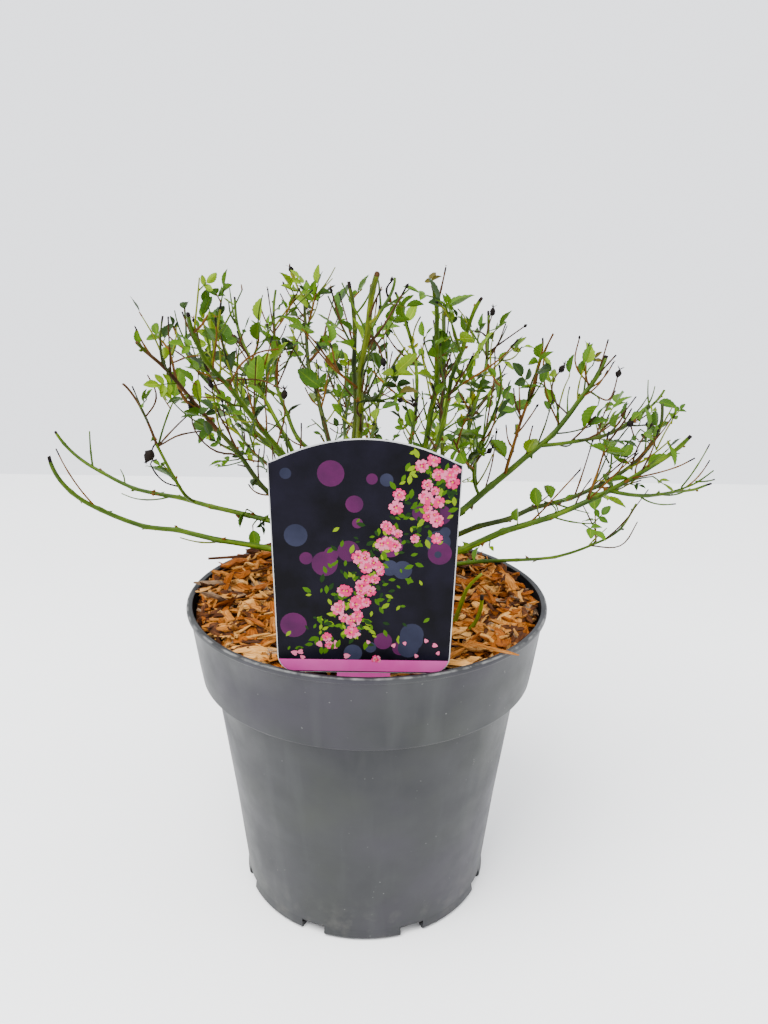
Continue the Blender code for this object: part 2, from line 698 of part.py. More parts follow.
def make_pot(material):
    """The pot: tapered body, wider band under a rolled lip, and drain slots round its foot."""
    lip = [(LIP_RADIUS - LIP_ROUNDING, POT_HEIGHT - LIP_DEPTH), (LIP_RADIUS, POT_HEIGHT - LIP_DEPTH * 0.6),
           (LIP_RADIUS, POT_HEIGHT - LIP_DEPTH * 0.25), (LIP_RADIUS - LIP_ROUNDING, POT_HEIGHT)]
    outside = [(0.0, 0.0), (BASE_RADIUS, 0.0), (BODY_FOOT_RADIUS - BASE_ROUNDING, BASE_EDGE_HEIGHT * 0.35),
               (BODY_FOOT_RADIUS, BASE_EDGE_HEIGHT), (BODY_TOP_RADIUS, BAND_FOOT_HEIGHT),
               (BAND_FOOT_RADIUS, BAND_FOOT_HEIGHT + STEP_RISE), (BAND_TOP_RADIUS, POT_HEIGHT - LIP_DEPTH)]
    inside = [(BAND_TOP_RADIUS - WALL, POT_HEIGHT - LIP_ROUNDING / 2),
              (BAND_FOOT_RADIUS - WALL, BAND_FOOT_HEIGHT + STEP_RISE + WALL),
              (BODY_TOP_RADIUS - WALL, BAND_FOOT_HEIGHT + STEP_RISE),
              (BODY_FOOT_RADIUS - WALL, BASE_EDGE_HEIGHT + STEP_RISE), (BASE_RADIUS - WALL, FLOOR), (0.0, FLOOR)]
    pot = turned("pot", outside + lip + inside, POT_SIDES, material)
    slots = []
    for number in range(DRAIN_COUNT):
        azimuth = DRAIN_FIRST_AZIMUTH + number * 360 / DRAIN_COUNT
        out = heading(azimuth, 0)
        middle = out * (DRAIN_INNER_RADIUS + DRAIN_LENGTH / 2) + np.array([0, 0, DRAIN_HEIGHT / 2 - OVERCUT])
        slots.append(box("slot", middle, out, heading(azimuth + 90, 0),
                         (DRAIN_LENGTH, DRAIN_WIDTH, DRAIN_HEIGHT + 2 * OVERCUT)))
    boolean(pot, slots, "DIFFERENCE")
    tidy_mesh(pot)
    shade(pot)
    return pot


def make_mix(material):
    """The potting mix below the step of the wall, 0.3 mm above the pot's floor."""
    bottom = FLOOR + GAP
    profile = [(0.0, bottom), (BASE_RADIUS - WALL - FILL_CLEARANCE, bottom),
               (BODY_FOOT_RADIUS - WALL - FILL_CLEARANCE, BASE_EDGE_HEIGHT + 2 * STEP_RISE),
               (BODY_TOP_RADIUS - WALL - STEP_CLEARANCE, MIX_SHOULDER),
               (BODY_TOP_RADIUS - WALL - STEP_CLEARANCE, MIX_TOP), (0.0, MIX_TOP)]
    mix = turned("potting_mix", profile, POT_SIDES, material)
    tidy_mesh(mix)
    return mix


def mulch_height(x, y):
    """Height of the mulch: lumpy, rising from the card to the rim at the back, level under the crown."""
    radius = math.hypot(x, y)
    rim = inner_radius(MULCH_LEVEL)
    lumps = sum(rise * math.sin(across * x + 1.0) * math.cos(along * y) for rise, across, along in MULCH_LUMPS)
    side = math.cos(math.atan2(y, x) - math.radians(MULCH_HEAP_AZIMUTH))
    outward = min(1.0, max(0.0, radius / MULCH_HEAP_START - 1.0))
    surface = (MULCH_LEVEL - MULCH_EDGE_DROP * (radius / rim) ** 3 + lumps
               + MULCH_HEAP * (1 + side) / 2 * outward)
    blend = min(1.0, max(0.0, (radius - PAD_RADIUS) / PAD_BLEND))
    return GROUND + (surface - GROUND) * blend


def make_mulch(material, space):
    """The bark mulch: a lumpy top layer with chips fused in, and a slot for the label's spike."""
    outer = inner_radius(MULCH_BOTTOM + WALL) - FILL_CLEARANCE
    rim = inner_radius(MULCH_LEVEL - MULCH_EDGE_DROP) - 2 * FILL_CLEARANCE
    turn = 2 * math.pi / MULCH_SIDES
    vertices, faces = [(0.0, 0.0, GROUND), (0.0, 0.0, MULCH_BOTTOM)], []
    rings = [PAD_RADIUS] + [PAD_RADIUS + (rim - PAD_RADIUS) * (k + 1) / MULCH_RINGS for k in range(MULCH_RINGS)]
    for radius in rings:
        for side in range(MULCH_SIDES):
            x, y = radius * math.cos(side * turn), radius * math.sin(side * turn)
            vertices.append((x, y, mulch_height(x, y)))
    for side in range(MULCH_SIDES):
        vertices.append((outer * math.cos(side * turn), outer * math.sin(side * turn), MULCH_BOTTOM))
    first = 2
    for side in range(MULCH_SIDES):
        after = (side + 1) % MULCH_SIDES
        faces.append((0, first + side, first + after))
        for ring in range(len(rings)):
            a, b = first + ring * MULCH_SIDES + side, first + ring * MULCH_SIDES + after
            faces.append((a, a + MULCH_SIDES, b + MULCH_SIDES, b))
        foot = first + len(rings) * MULCH_SIDES
        faces.append((1, foot + after, foot + side))
    mulch = new_object("bark_mulch", vertices, faces, material)
    boolean(mulch, mulch_chips(space), "UNION")
    slot = slab("slot", label_outline(GAP), LABEL_Y, LABEL_THICKNESS + 2 * GAP)
    boolean(mulch, [slot], "DIFFERENCE")
    tidy_mesh(mulch)
    return mulch


def mulch_chips(space):
    """Slivers of bark that lie half sunk in the mulch, clear of the canes, label and rim."""
    rng = random.Random(SEED)
    chips = []
    for _ in range(CHIP_COUNT * 3):
        radius = CHIP_FIELD_RADIUS * math.sqrt(rng.uniform(0.10, 1.0))
        azimuth = rng.uniform(0, 360)
        length = rng.uniform(*CHIP_LENGTH)
        width, depth = length * rng.uniform(*CHIP_WIDTH_RATIO), rng.uniform(*CHIP_DEPTH)
        along = heading(rng.uniform(0, 360), rng.uniform(-CHIP_TILT, CHIP_TILT))
        across = unit(np.cross((0, 0, 1), along) + np.array([0, 0, rng.uniform(-0.35, 0.35)]))
        across = unit(across - along * (across @ along))
        centre = polar(azimuth, radius, 0.0)
        centre[2] = mulch_height(centre[0], centre[1]) + depth * 0.15
        half = along * (length / 2 - width * 0.3)
        rods = [(centre - half, centre + half, width * 0.62)]
        ends = [math.hypot(*(centre + sign * along * length / 2)[:2]) for sign in (-1, 1)]
        if min(ends + [radius]) < PAD_RADIUS + width or max(ends) + width / 2 > CHIP_LIMIT_RADIUS:
            continue
        if len(chips) < CHIP_COUNT and space.is_free(rods, "bark_mulch", (), CHIP_CLEARANCE):
            space.add("bark_mulch", rods)
            chips.append(box("chip", centre, along, across, (length, width, depth)))
    return chips


def label_outline(margin=0.0):
    """Outline (x, z) of the card and its spike, anticlockwise, widened by a margin all round."""
    half_foot, half_top = LABEL_FOOT_WIDTH / 2 + margin, LABEL_SHOULDER_WIDTH / 2 + margin
    foot, half_spike = LABEL_FOOT - margin, SPIKE_WIDTH / 2 + margin
    tip = SPIKE_TIP - margin
    right = [(0.0, tip), (half_spike, tip + SPIKE_POINT_HEIGHT), (half_spike, foot)]
    for turn in np.radians(np.linspace(-90, 0, 5)):
        right.append((half_foot - LABEL_CORNER * (1 - math.cos(turn)),
                      foot + LABEL_CORNER * (1 + math.sin(turn))))
    for share in np.linspace(1, 0, 7):
        right.append((half_top * share, LABEL_SHOULDER + margin + (LABEL_TOP - LABEL_SHOULDER) * (1 - share**2)))
    left = [(-x, z) for x, z in reversed(right[1:-1])]
    return right + left


def slab(name, outline, y, thickness, material=None):
    """A flat plate in the XZ plane, cut to an outline and centred on y."""
    count = len(outline)
    vertices = [(x, y - thickness / 2, z) for x, z in outline] + [(x, y + thickness / 2, z) for x, z in outline]
    faces = [tuple(range(count)), tuple(reversed(range(count, 2 * count)))]
    for k in range(count):
        after = (k + 1) % count
        faces.append((k, k + count, after + count, after))
    return new_object(name, vertices, faces, material)


def make_label(material):
    """The plant label."""
    label = slab("plant_label", label_outline(), LABEL_Y, LABEL_THICKNESS, material)
    tidy_mesh(label)
    return label


def claim_fixed_pieces(space):
    """Place the rim and the label, so that no twig touches them."""
    ring = [polar(a, LIP_RADIUS - LIP_ROUNDING, POT_HEIGHT - LIP_ROUNDING) for a in np.linspace(0, 360, 49)]
    space.add("pot", rods_along(ring, [WALL] * len(ring)))
    for across in np.linspace(-1, 1, 21):
        x, top = across * LABEL_SHOULDER_WIDTH / 2, LABEL_TOP - (LABEL_TOP - LABEL_SHOULDER) * across**2
        space.add("plant_label", [(np.array([x, LABEL_Y, LABEL_FOOT]), np.array([x, LABEL_Y, top]), LABEL_ROOM)])


# --- crown, boughs and masses ------------------------------------------------------------------------

def make_crown(material, curves, starts):
    """The crown: a flared knuckle on a flat cut, with a stub for each cane that leaves it."""
    height = CROWN_TOP - CROWN_BOTTOM
    profile = [(CROWN_WAIST_RADIUS * width, CROWN_BOTTOM + height * rise) for rise, width in CROWN_PROFILE]
    crown = turned("crown", [(0.0, CROWN_BOTTOM), *profile, (0.0, CROWN_TOP)], CROWN_SIDES, material)
    for vertex in crown.data.vertices:
        rise = (vertex.co.z - CROWN_BOTTOM) / height
        vertex.co.x += CROWN_LEAN[0] * rise
        vertex.co.y += CROWN_LEAN[1] * rise
    stubs = []
    for cane in CANES:
        if cane.parent != "crown":
            continue
        curve, end = curves[cane.name], starts[cane.name]
        shares = np.linspace(0.0, end, 4)
        out = curve.at(shares)
        root = out[0] * (0.25, 0.25, 1.0) - (0.0, 0.0, STUB_DIP)
        points = np.vstack([root, out[1:]])
        radii = np.append(curve.radius(0) * STUB_FLARE, curve.radius(shares[1:]))
        stubs.append(tube("stub", points, radii, BOUGH_SIDES))
    boolean(crown, stubs, "UNION")
    tidy_mesh(crown)
    return crown


def bough_range(cane, curve, start):
    """Shares of the curve where the bough's own solid starts and ends."""
    return start + GAP / curve.length, cane.bare - GAP / curve.length


def make_bough(cane, curve, start, material):
    """One tapering bough, from its stub to where its mass begins."""
    first, last = bough_range(cane, curve, start)
    count = max(5, int(round(curve.length * (last - first) / BOUGH_STEP)))
    shares = np.linspace(first, last, count)
    bough = tube(cane.name, curve.at(shares), curve.radius(shares), BOUGH_SIDES, material)
    tidy_mesh(bough)
    return bough


def make_mass(mass, material):
    """One mass: its stem, twigs, leaves and heads joined by one Boolean."""
    stem = tube(mass.name, mass.stem.points, mass.stem.radii, STEM_SIDES, material)
    pieces = [tube("twig", twig.points, twig.radii, TWIG_SIDES) for twig in mass.twigs]
    pieces += [leaf_blade(leaf) for leaf in mass.leaves]
    pieces += [dried_head(root, direction) for root, direction in mass.heads]
    boolean(stem, pieces, "UNION")
    tidy_mesh(stem)
    return stem


def main():
    """Build every piece."""
    clear_scene()
    plastic = make_material("pot_plastic", (0.155, 0.160, 0.168), 0.5)
    soil = make_material("potting_mix", (0.060, 0.042, 0.030), 0.95)
    bark = make_material("bark_mulch", (0.42, 0.21, 0.09), 0.9)
    card = make_material("label_card", (0.030, 0.022, 0.060), 0.3)
    wood = make_material("crown_bark", (0.16, 0.14, 0.06), 0.8)
    green = make_material("cane_bark", (0.12, 0.25, 0.05), 0.55)
    leafy = make_material("foliage", (0.16, 0.34, 0.05), 0.6)

    space = Space()
    claim_fixed_pieces(space)
    curves = cane_curves()
    starts = {cane.name: start_share(cane, curves) for cane in CANES}
    masses = []
    for index, cane in enumerate(CANES):
        curve = curves[cane.name]
        if cane.bare:
            shares = np.linspace(0.0 if cane.parent == "crown" else starts[cane.name], cane.bare, 24)
            space.add(cane.name, rods_along(curve.at(shares), curve.radius(shares)))
        stem_start = cane.bare if cane.bare else starts[cane.name] + GAP / curve.length
        masses.append(Mass(cane, curve, stem_start, space, index))
        masses[-1].claim_stem()
    for mass in masses:
        mass.grow()

    make_pot(plastic)
    make_mix(soil)
    make_mulch(bark, space)
    make_label(card)
    make_crown(wood, curves, starts)
    for cane in CANES:
        if cane.bare:
            make_bough(cane, curves[cane.name], starts[cane.name], green)
    for mass in masses:
        make_mass(mass, leafy)


main()
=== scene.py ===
# %% [markdown]
# # A rose bush in its nursery pot
# A small patio rose after its winter pruning: a short woody crown, some thirty green canes,
# thin twigs, the first fresh leaves, dry stalks with black buds, bark mulch and a printed card,
# all in a grey nursery pot. The solids give every limb its place. This notebook dresses them:
# the pot, the mulch, the card and the whole plant get finer surfaces and their own finishes.

# %% Load the solids
import json
import math
import random
from typing import NamedTuple

import bpy
import numpy as np
from mathutils import Matrix, Vector

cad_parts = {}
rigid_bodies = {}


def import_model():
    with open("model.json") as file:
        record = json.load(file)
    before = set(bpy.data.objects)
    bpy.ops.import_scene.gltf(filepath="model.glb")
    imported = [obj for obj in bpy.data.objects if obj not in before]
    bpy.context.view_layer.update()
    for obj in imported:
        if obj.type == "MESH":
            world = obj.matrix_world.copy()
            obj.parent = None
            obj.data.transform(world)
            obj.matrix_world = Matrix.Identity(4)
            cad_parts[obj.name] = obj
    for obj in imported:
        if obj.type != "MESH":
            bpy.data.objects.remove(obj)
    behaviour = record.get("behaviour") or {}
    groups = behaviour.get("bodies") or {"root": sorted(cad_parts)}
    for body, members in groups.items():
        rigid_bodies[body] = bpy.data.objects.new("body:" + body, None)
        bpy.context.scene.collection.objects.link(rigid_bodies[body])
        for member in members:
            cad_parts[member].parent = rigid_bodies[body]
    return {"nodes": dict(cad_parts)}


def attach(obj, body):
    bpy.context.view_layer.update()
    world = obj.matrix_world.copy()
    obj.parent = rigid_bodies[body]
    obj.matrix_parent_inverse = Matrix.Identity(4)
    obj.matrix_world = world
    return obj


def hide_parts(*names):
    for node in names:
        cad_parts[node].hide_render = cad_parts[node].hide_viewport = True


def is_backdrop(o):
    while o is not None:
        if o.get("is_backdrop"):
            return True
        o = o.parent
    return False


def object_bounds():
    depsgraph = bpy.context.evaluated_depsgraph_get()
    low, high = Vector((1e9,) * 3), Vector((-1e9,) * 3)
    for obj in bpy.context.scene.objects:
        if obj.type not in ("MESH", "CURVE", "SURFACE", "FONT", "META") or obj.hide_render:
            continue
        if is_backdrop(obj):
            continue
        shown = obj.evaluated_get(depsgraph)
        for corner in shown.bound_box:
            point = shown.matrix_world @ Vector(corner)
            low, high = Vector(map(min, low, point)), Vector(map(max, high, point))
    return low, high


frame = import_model()
solid_low, solid_high = (np.array(corner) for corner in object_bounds())
print("nodes:", len(frame["nodes"]), "box:", np.round(solid_low, 4), np.round(solid_high, 4))

# %% [markdown]
# ## Camera, floor and light
# The bush stands on a pale floor and is seen from a little above, with a lens as wide as a
# phone's. A bright white surround lights it from all sides. A large soft lamp above its left
# front gives the leaves a light and a dark side, and a weak one at the right fills the shade.

# %% Camera
CAMERA_PLACE = (0.0082, -0.4345, 0.3524)
CAMERA_PITCH = math.radians(72.18)   # 90 would be level
CAMERA_ROLL = math.radians(0.82)
CAMERA_LENS = 30.84
CAMERA_SENSOR = 36.0

camera_data = bpy.data.cameras.new("view")
camera_data.lens = CAMERA_LENS
camera_data.sensor_width = CAMERA_SENSOR
camera = bpy.data.objects.new("view", camera_data)
camera.matrix_world = (Matrix.Translation(CAMERA_PLACE) @ Matrix.Rotation(CAMERA_PITCH, 4, "X")
                       @ Matrix.Rotation(CAMERA_ROLL, 4, "Z"))
bpy.context.scene.collection.objects.link(camera)
bpy.context.scene.camera = camera
print("camera at", CAMERA_PLACE, "lens", CAMERA_LENS)

# %% Light
SURROUND = {"Color": (0.93, 0.95, 1.0, 1.0), "Strength": 2.3}
BUSH_MIDDLE = (0, 0, 0.2)
LAMPS = (
    # name, place, size, watts
    ("lamp_above", (-0.5, -0.7, 1.7), 1.1, 75.0),
    ("lamp_right", (1.3, -0.3, 0.9), 1.0, 11.0),
)

world = bpy.data.worlds.new("surround")
world.use_nodes = True
for key, value in SURROUND.items():
    world.node_tree.nodes["Background"].inputs[key].default_value = value
bpy.context.scene.world = world


def soft_lamp(name, place, size, watts):
    """A square area lamp that faces the middle of the bush."""
    data = bpy.data.lights.new(name, "AREA")
    data.size, data.energy = size, watts
    lamp = bpy.data.objects.new(name, data)
    turn = (Vector(BUSH_MIDDLE) - Vector(place)).to_track_quat("-Z", "Y")
    lamp.matrix_world = Matrix.Translation(place) @ turn.to_matrix().to_4x4()
    bpy.context.scene.collection.objects.link(lamp)


for row in LAMPS:
    soft_lamp(*row)
print("lamps:", [row[0] for row in LAMPS])

# %% [markdown]
# ## Tools for surfaces
# Nearly every piece here is a tube, a turned profile or one small shape repeated many times.
# Each is worked out as a whole array of points, so a helper only has to gather arrays and hand
# them to Blender. Parts of one kind are gathered in a pile and become a single mesh, with a
# material slot for each finish and a UV map where a pattern follows the surface.

# %% A pile of parts
class Pile:
    """Points, UV pairs, faces and material slots of many parts that become one mesh."""

    def __init__(self):
        self.points, self.uvs, self.faces, self.slots = [], [], [], []
        self.count = 0

    def add(self, points, faces, slot=0, uvs=None):
        """Add parts. Faces are an (n, 3) or (n, 4) array of corners; slot is one number or one a face."""
        points = np.asarray(points, float).reshape(-1, 3)
        faces = np.asarray(faces, int)
        self.points.append(points)
        self.uvs.append(np.zeros((len(points), 2)) if uvs is None else np.reshape(uvs, (-1, 2)))
        self.faces.append(faces + self.count)
        self.slots.append(np.broadcast_to(np.asarray(slot), (len(faces),)))
        self.count += len(points)

    def build(self, name, materials, smooth=True):
        """Make the mesh object at the origin, with its UV map and materials."""
        corners = np.concatenate([faces.ravel() for faces in self.faces])
        sides = np.concatenate([np.full(len(faces), faces.shape[1]) for faces in self.faces])
        mesh = bpy.data.meshes.new(name)
        mesh.vertices.add(self.count)
        mesh.vertices.foreach_set("co", np.vstack(self.points).ravel())
        mesh.loops.add(len(corners))
        mesh.loops.foreach_set("vertex_index", corners)
        mesh.polygons.add(len(sides))
        mesh.polygons.foreach_set("loop_start", np.concatenate([[0], np.cumsum(sides)[:-1]]))
        mesh.polygons.foreach_set("material_index", np.concatenate(self.slots))
        mesh.polygons.foreach_set("use_smooth", np.full(len(sides), smooth))
        mesh.update(calc_edges=True)
        mesh.uv_layers.new(name="UVMap").data.foreach_set("uv", np.vstack(self.uvs)[corners].ravel())
        for material in materials:
            mesh.materials.append(material)
        piece = bpy.data.objects.new(name, mesh)
        bpy.context.scene.collection.objects.link(piece)
        print(name, "faces:", len(sides), "triangles:", int((sides - 2).sum()))
        return piece


def dress(piece, slot, *nodes):
    """Let a piece ride on the pot and stand for solids, which it hides. slot is not used."""
    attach(piece, "root")
    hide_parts(*nodes)


# %% Grids and tubes
def grid_faces(rows, columns, wrap=False):
    """Quads of a grid whose points are numbered row by row; wrap joins the last column to the first."""
    row, column = np.meshgrid(np.arange(rows - 1), np.arange(columns if wrap else columns - 1), indexing="ij")
    here, beside = row * columns + column, row * columns + (column + 1) % columns
    return np.stack([here, beside, beside + columns, here + columns], axis=-1).reshape(-1, 4)


def fan(centre, ring):
    """Triangles from a centre point's number to a ring of numbers."""
    ring = np.asarray(ring)
    return np.stack([np.full(len(ring), centre), ring, np.roll(ring, -1)], axis=1)


def stacked(*values):
    """Arrays of numbers, spread to one shape and stacked along a new last axis."""
    return np.stack(np.broadcast_arrays(*values), axis=-1)


def columns_of(rows):
    """The columns of a list of rows, each as an array."""
    return [np.array(column) for column in zip(*rows)]


def circle_steps(count):
    """Angles that share out a full turn evenly."""
    return np.linspace(0, 2 * math.pi, count, endpoint=False)


def run_along(points):
    """Distance from the first point to each along the line of points."""
    return np.append(0, np.cumsum(np.linalg.norm(np.diff(points, axis=0), axis=1)))


def between(places, run, values):
    """Rows of three values at places of a run, by straight steps."""
    return stacked(*(np.interp(places, run, column) for column in values.T))


def unit(vectors):
    """Vectors at length one."""
    vectors = np.asarray(vectors, float)
    return vectors / np.linalg.norm(vectors, axis=-1, keepdims=True)


def directions(points):
    """Unit tangents of a line of points, from the steps on both sides of each."""
    return unit(np.gradient(points, axis=0))


def heading(azimuth, elevation):
    """Unit vector of an azimuth and an elevation in degrees."""
    a, e = math.radians(azimuth), math.radians(elevation)
    return np.array([math.cos(e) * math.cos(a), math.cos(e) * math.sin(a), math.sin(e)])


def polar(azimuth, reach, height):
    """Point at an azimuth in degrees, a reach from the pot's axis and a height."""
    a = math.radians(azimuth)
    return np.array([reach * math.cos(a), reach * math.sin(a), height])


def frames_along(points):
    """Tangent, side and top directions at each point: side is square to the tangent and to the
    axis that the line as a whole leans on least."""
    along = directions(points)
    chord = np.abs(unit(points[-1] - points[0]))
    side = unit(np.cross(along, np.eye(3)[np.argmin(chord)]))
    return along, side, np.cross(along, side)


def closed_skin(pile, grid, ends, slots=0, uvs=None, clockwise=False):
    """Add an (n, m, 3) grid of n rings as a closed skin: ends holds the two points that close it.
    slots is one number or one a ring. clockwise says which way the rings run."""
    rows, columns = grid.shape[:2]
    count, start = rows * columns, pile.count
    slots = np.broadcast_to(slots, (rows,))
    faces = grid_faces(rows, columns, wrap=True)
    first, last = np.arange(columns)[::-1], np.arange(count - columns, count)
    if clockwise:
        faces, first, last = faces[:, ::-1], first[::-1], last[::-1]
    pile.add(np.vstack([grid.reshape(-1, 3), ends]), faces, np.repeat(slots[:-1], columns), uvs)
    for centre, ring, slot in ((count, first, slots[0]), (count + 1, last, slots[-1])):
        pile.faces.append(fan(centre, ring) + start)
        pile.slots.append(np.full(columns, slot))


def tube(pile, points, radii, sides, slots, slant=0.0):
    """Add a closed tube: rings of radius times (cos, sin) of the angle on side and top, one ring
    a point. slant tips the last ring's cut."""
    along, side, top = frames_along(points)
    angle = circle_steps(sides)
    radii = np.broadcast_to(np.asarray(radii, float).reshape(len(points), -1), (len(points), sides))
    rings = (points[:, None] + radii[..., None] * (np.cos(angle)[:, None] * side[:, None]
                                                   + np.sin(angle)[:, None] * top[:, None]))
    rings[-1] += along[-1] * (radii[-1] * np.cos(angle) * slant)[:, None]
    run = run_along(points)
    uvs = stacked(angle / (2 * math.pi), run[:, None]).reshape(-1, 2)
    closed_skin(pile, rings, [rings[0].mean(0), rings[-1].mean(0)], slots,
                np.vstack([uvs, [(0.5, 0.0), (0.5, run[-1])]]))


def copies(pile, shapes, faces, slots, uvs=None):
    """Add an (m, k, 3) array of m shapes of k points that share one (n, 3 or 4) array of faces."""
    count, size = shapes.shape[:2]
    every = (np.arange(count)[:, None, None] * size + faces[None]).reshape(-1, faces.shape[1])
    slots = np.repeat(np.broadcast_to(slots, (count,)), len(faces))
    pile.add(shapes, every, slots, None if uvs is None else np.tile(uvs, (count, 1)))


# %% [markdown]
# ## Tools for finishes
# A finish is a small node tree on the Principled shader. Colour comes from noise that drifts
# between close tones, and the relief from finer noise through a Bump node. The patterns read
# Object coordinates, which are metres here, so a scale of 400 means grains of about 2.5 mm.

# %% Node helpers
DEEPEN = 0.42   # the white surround lifts every tone, so each finish is mixed this much darker
BOOST = 1.12    # and it greys them, so each is mixed this much stronger in colour


class Finish:
    """A material under construction: its node tree, its shader and short calls that add to them."""

    def __init__(self, name, roughness, gloss=0.5, deepen=DEEPEN, boost=BOOST):
        self.deepen, self.boost = deepen, boost
        self.material = bpy.data.materials.new(name)
        self.material.use_nodes = True
        self.tree = self.material.node_tree
        self.shader = self.tree.nodes["Principled BSDF"]
        self.shader.inputs["Roughness"].default_value = roughness
        self.shader.inputs["Specular IOR Level"].default_value = gloss
        self.place = self.node("TexCoord").outputs["Object"]
        self.normal = None

    def screen(self, colour):
        """Finish colour, in linear light, of a tone that should look like screen values from 0 to 255."""
        values = np.array(colour) / 255
        light = np.where(values <= 0.04045, values / 12.92, ((values + 0.055) / 1.055) ** 2.4)
        grey = light @ (0.2126, 0.7152, 0.0722)
        return (*(float(v) for v in np.clip(grey + (light - grey) * self.boost, 0, 1) * self.deepen), 1.0)

    def node(self, kind, inputs=None, **settings):
        """Add a node; inputs are values or sockets to link, settings are its own properties."""
        made = self.tree.nodes.new("ShaderNode" + kind)
        for key, value in settings.items():
            setattr(made, key, value)
        for key, value in (inputs or {}).items():
            if isinstance(value, bpy.types.NodeSocket):
                self.tree.links.new(value, made.inputs[key])
            else:
                made.inputs[key].default_value = value
        return made

    def link(self, socket, key):
        """Link a socket to one of the shader's inputs."""
        self.tree.links.new(socket, self.shader.inputs[key])

    def along_uv(self, across, along):
        """The piece's UV map, stretched by a factor across and along."""
        uv = self.node("UVMap").outputs["UV"]
        return self.node("Mapping", {"Vector": uv, "Scale": (across, along, 1.0)}).outputs["Vector"]

    def noise(self, scale, detail=4.0, place=None, distortion=0.0):
        """Grey noise with grains of one over scale metres."""
        return self.node("TexNoise", {"Vector": place or self.place, "Scale": scale, "Detail": detail,
                                      "Roughness": 0.55, "Distortion": distortion}).outputs["Fac"]

    def tones(self, factor, *stops):
        """Colours (position, screen colour) spread over a grey factor."""
        ramp = self.node("ValToRGB", {"Fac": factor})
        while len(ramp.color_ramp.elements) < len(stops):
            ramp.color_ramp.elements.new(0.5)
        for element, (position, colour) in zip(ramp.color_ramp.elements, stops):
            element.position, element.color = position, self.screen(colour)
        return ramp.outputs["Color"]

    def steps(self, factor, low, high, out_low=0.0, out_high=1.0):
        """A grey factor stretched from low..high to out_low..out_high."""
        return self.node("MapRange", {"Value": factor, "From Min": low, "From Max": high,
                                      "To Min": out_low, "To Max": out_high}).outputs["Result"]

    def mix(self, factor, first, second):
        """Blend two colours by a factor. The Mix node's colour sockets are numbers 6 and 7, and 2."""
        return self.node("Mix", {0: factor, 6: first, 7: second}, data_type="RGBA").outputs[2]

    def stain(self, colour, factor, tone):
        """Lay a screen tone over a colour by a factor."""
        return self.mix(factor, colour, self.screen(tone))

    def combine(self, kind, *values):
        """One or two grey values put through a Math node."""
        return self.node("Math", dict(enumerate(values)), operation=kind).outputs[0]

    def times(self, first, second):
        """Two grey values multiplied."""
        return self.combine("MULTIPLY", first, second)

    def blend(self, first, share, second):
        """A share of one grey value and the rest of another."""
        return self.combine("ADD", self.times(first, share), self.times(second, 1 - share))

    def relief(self, factor, depth, strength=1.0):
        """Lay grey relief of a depth in metres over the relief so far."""
        inputs = {"Height": factor, "Distance": depth, "Strength": strength}
        if self.normal:
            inputs["Normal"] = self.normal
        self.normal = self.node("Bump", inputs).outputs["Normal"]
        self.link(self.normal, "Normal")


# %% Floor
FLOOR_FRONT, FLOOR_SIDE = -3.0, 4.0
FLOOR_END = 0.82   # the surround is the wall behind it


def make_floor():
    """A pale floor with a barely visible grain."""
    finish = Finish("floor_paint", 0.55)
    grain = finish.steps(finish.noise(3.0), 0.3, 0.7)
    finish.link(finish.mix(grain, (0.86, 0.86, 0.85, 1), (0.90, 0.90, 0.89, 1)), "Base Color")
    pile = Pile()
    pile.add([(-FLOOR_SIDE, FLOOR_FRONT, 0), (FLOOR_SIDE, FLOOR_FRONT, 0), (FLOOR_SIDE, FLOOR_END, 0),
              (-FLOOR_SIDE, FLOOR_END, 0)], [(0, 1, 2, 3)])
    floor = pile.build("floor", [finish.material], smooth=False)
    floor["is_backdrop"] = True


make_floor()

# %% [markdown]
# ## Pot
# A three-litre nursery pot is blown or pressed from grey plastic: a tapered body, a wider band
# round the top with a rolled lip, and slots round the foot that let water out. It is a profile
# turned round the axis, so the whole skin is one grid: one row for each point of the profile and
# one column for each step of the turn. The slots are cut with a Boolean, which leaves their
# edges crisp.

# %% Pot sizes
POT_HEIGHT = 0.167
LIP_RADIUS = 0.0950
LIP_DEPTH = 0.0030
LIP_ROUNDING = 0.0010
BAND_TOP_RADIUS = 0.0934
BAND_FOOT_RADIUS = 0.0884
BAND_FOOT_HEIGHT = 0.126
STEP_RISE = 0.0005
BODY_TOP_RADIUS = 0.0820
BODY_FOOT_RADIUS = 0.0690
BASE_RADIUS = 0.0663
BASE_EDGE_HEIGHT = 0.0040
WALL = 0.0014
FLOOR = 0.0020
DRAIN_COUNT = 8
DRAIN_WIDTH = 0.0130
DRAIN_HEIGHT = 0.0060
DRAIN_REACH = (0.060, 0.080)   # the slots' inner and outer ends
DRAIN_FIRST_AZIMUTH = 22.5
TURN_STEPS = 240
FOOT_ROUNDING = 0.0028
FOOT_INSET = 0.0006
FILLET = 0.0012
CREASE = math.radians(40)      # edges steeper than this stay sharp


def arc(radius, height, rounding, start, end):
    """Five (radius, height) points of a rounding about a centre, from one angle in degrees to another."""
    angle = np.radians(np.linspace(start, end, 5))
    return [(radius + rounding * math.cos(a), height + rounding * math.sin(a)) for a in angle]


def straight(low, high, shares):
    """Points at shares of the way from one (radius, height) to another."""
    return [(low[0] + (high[0] - low[0]) * share, low[1] + (high[1] - low[1]) * share) for share in shares]


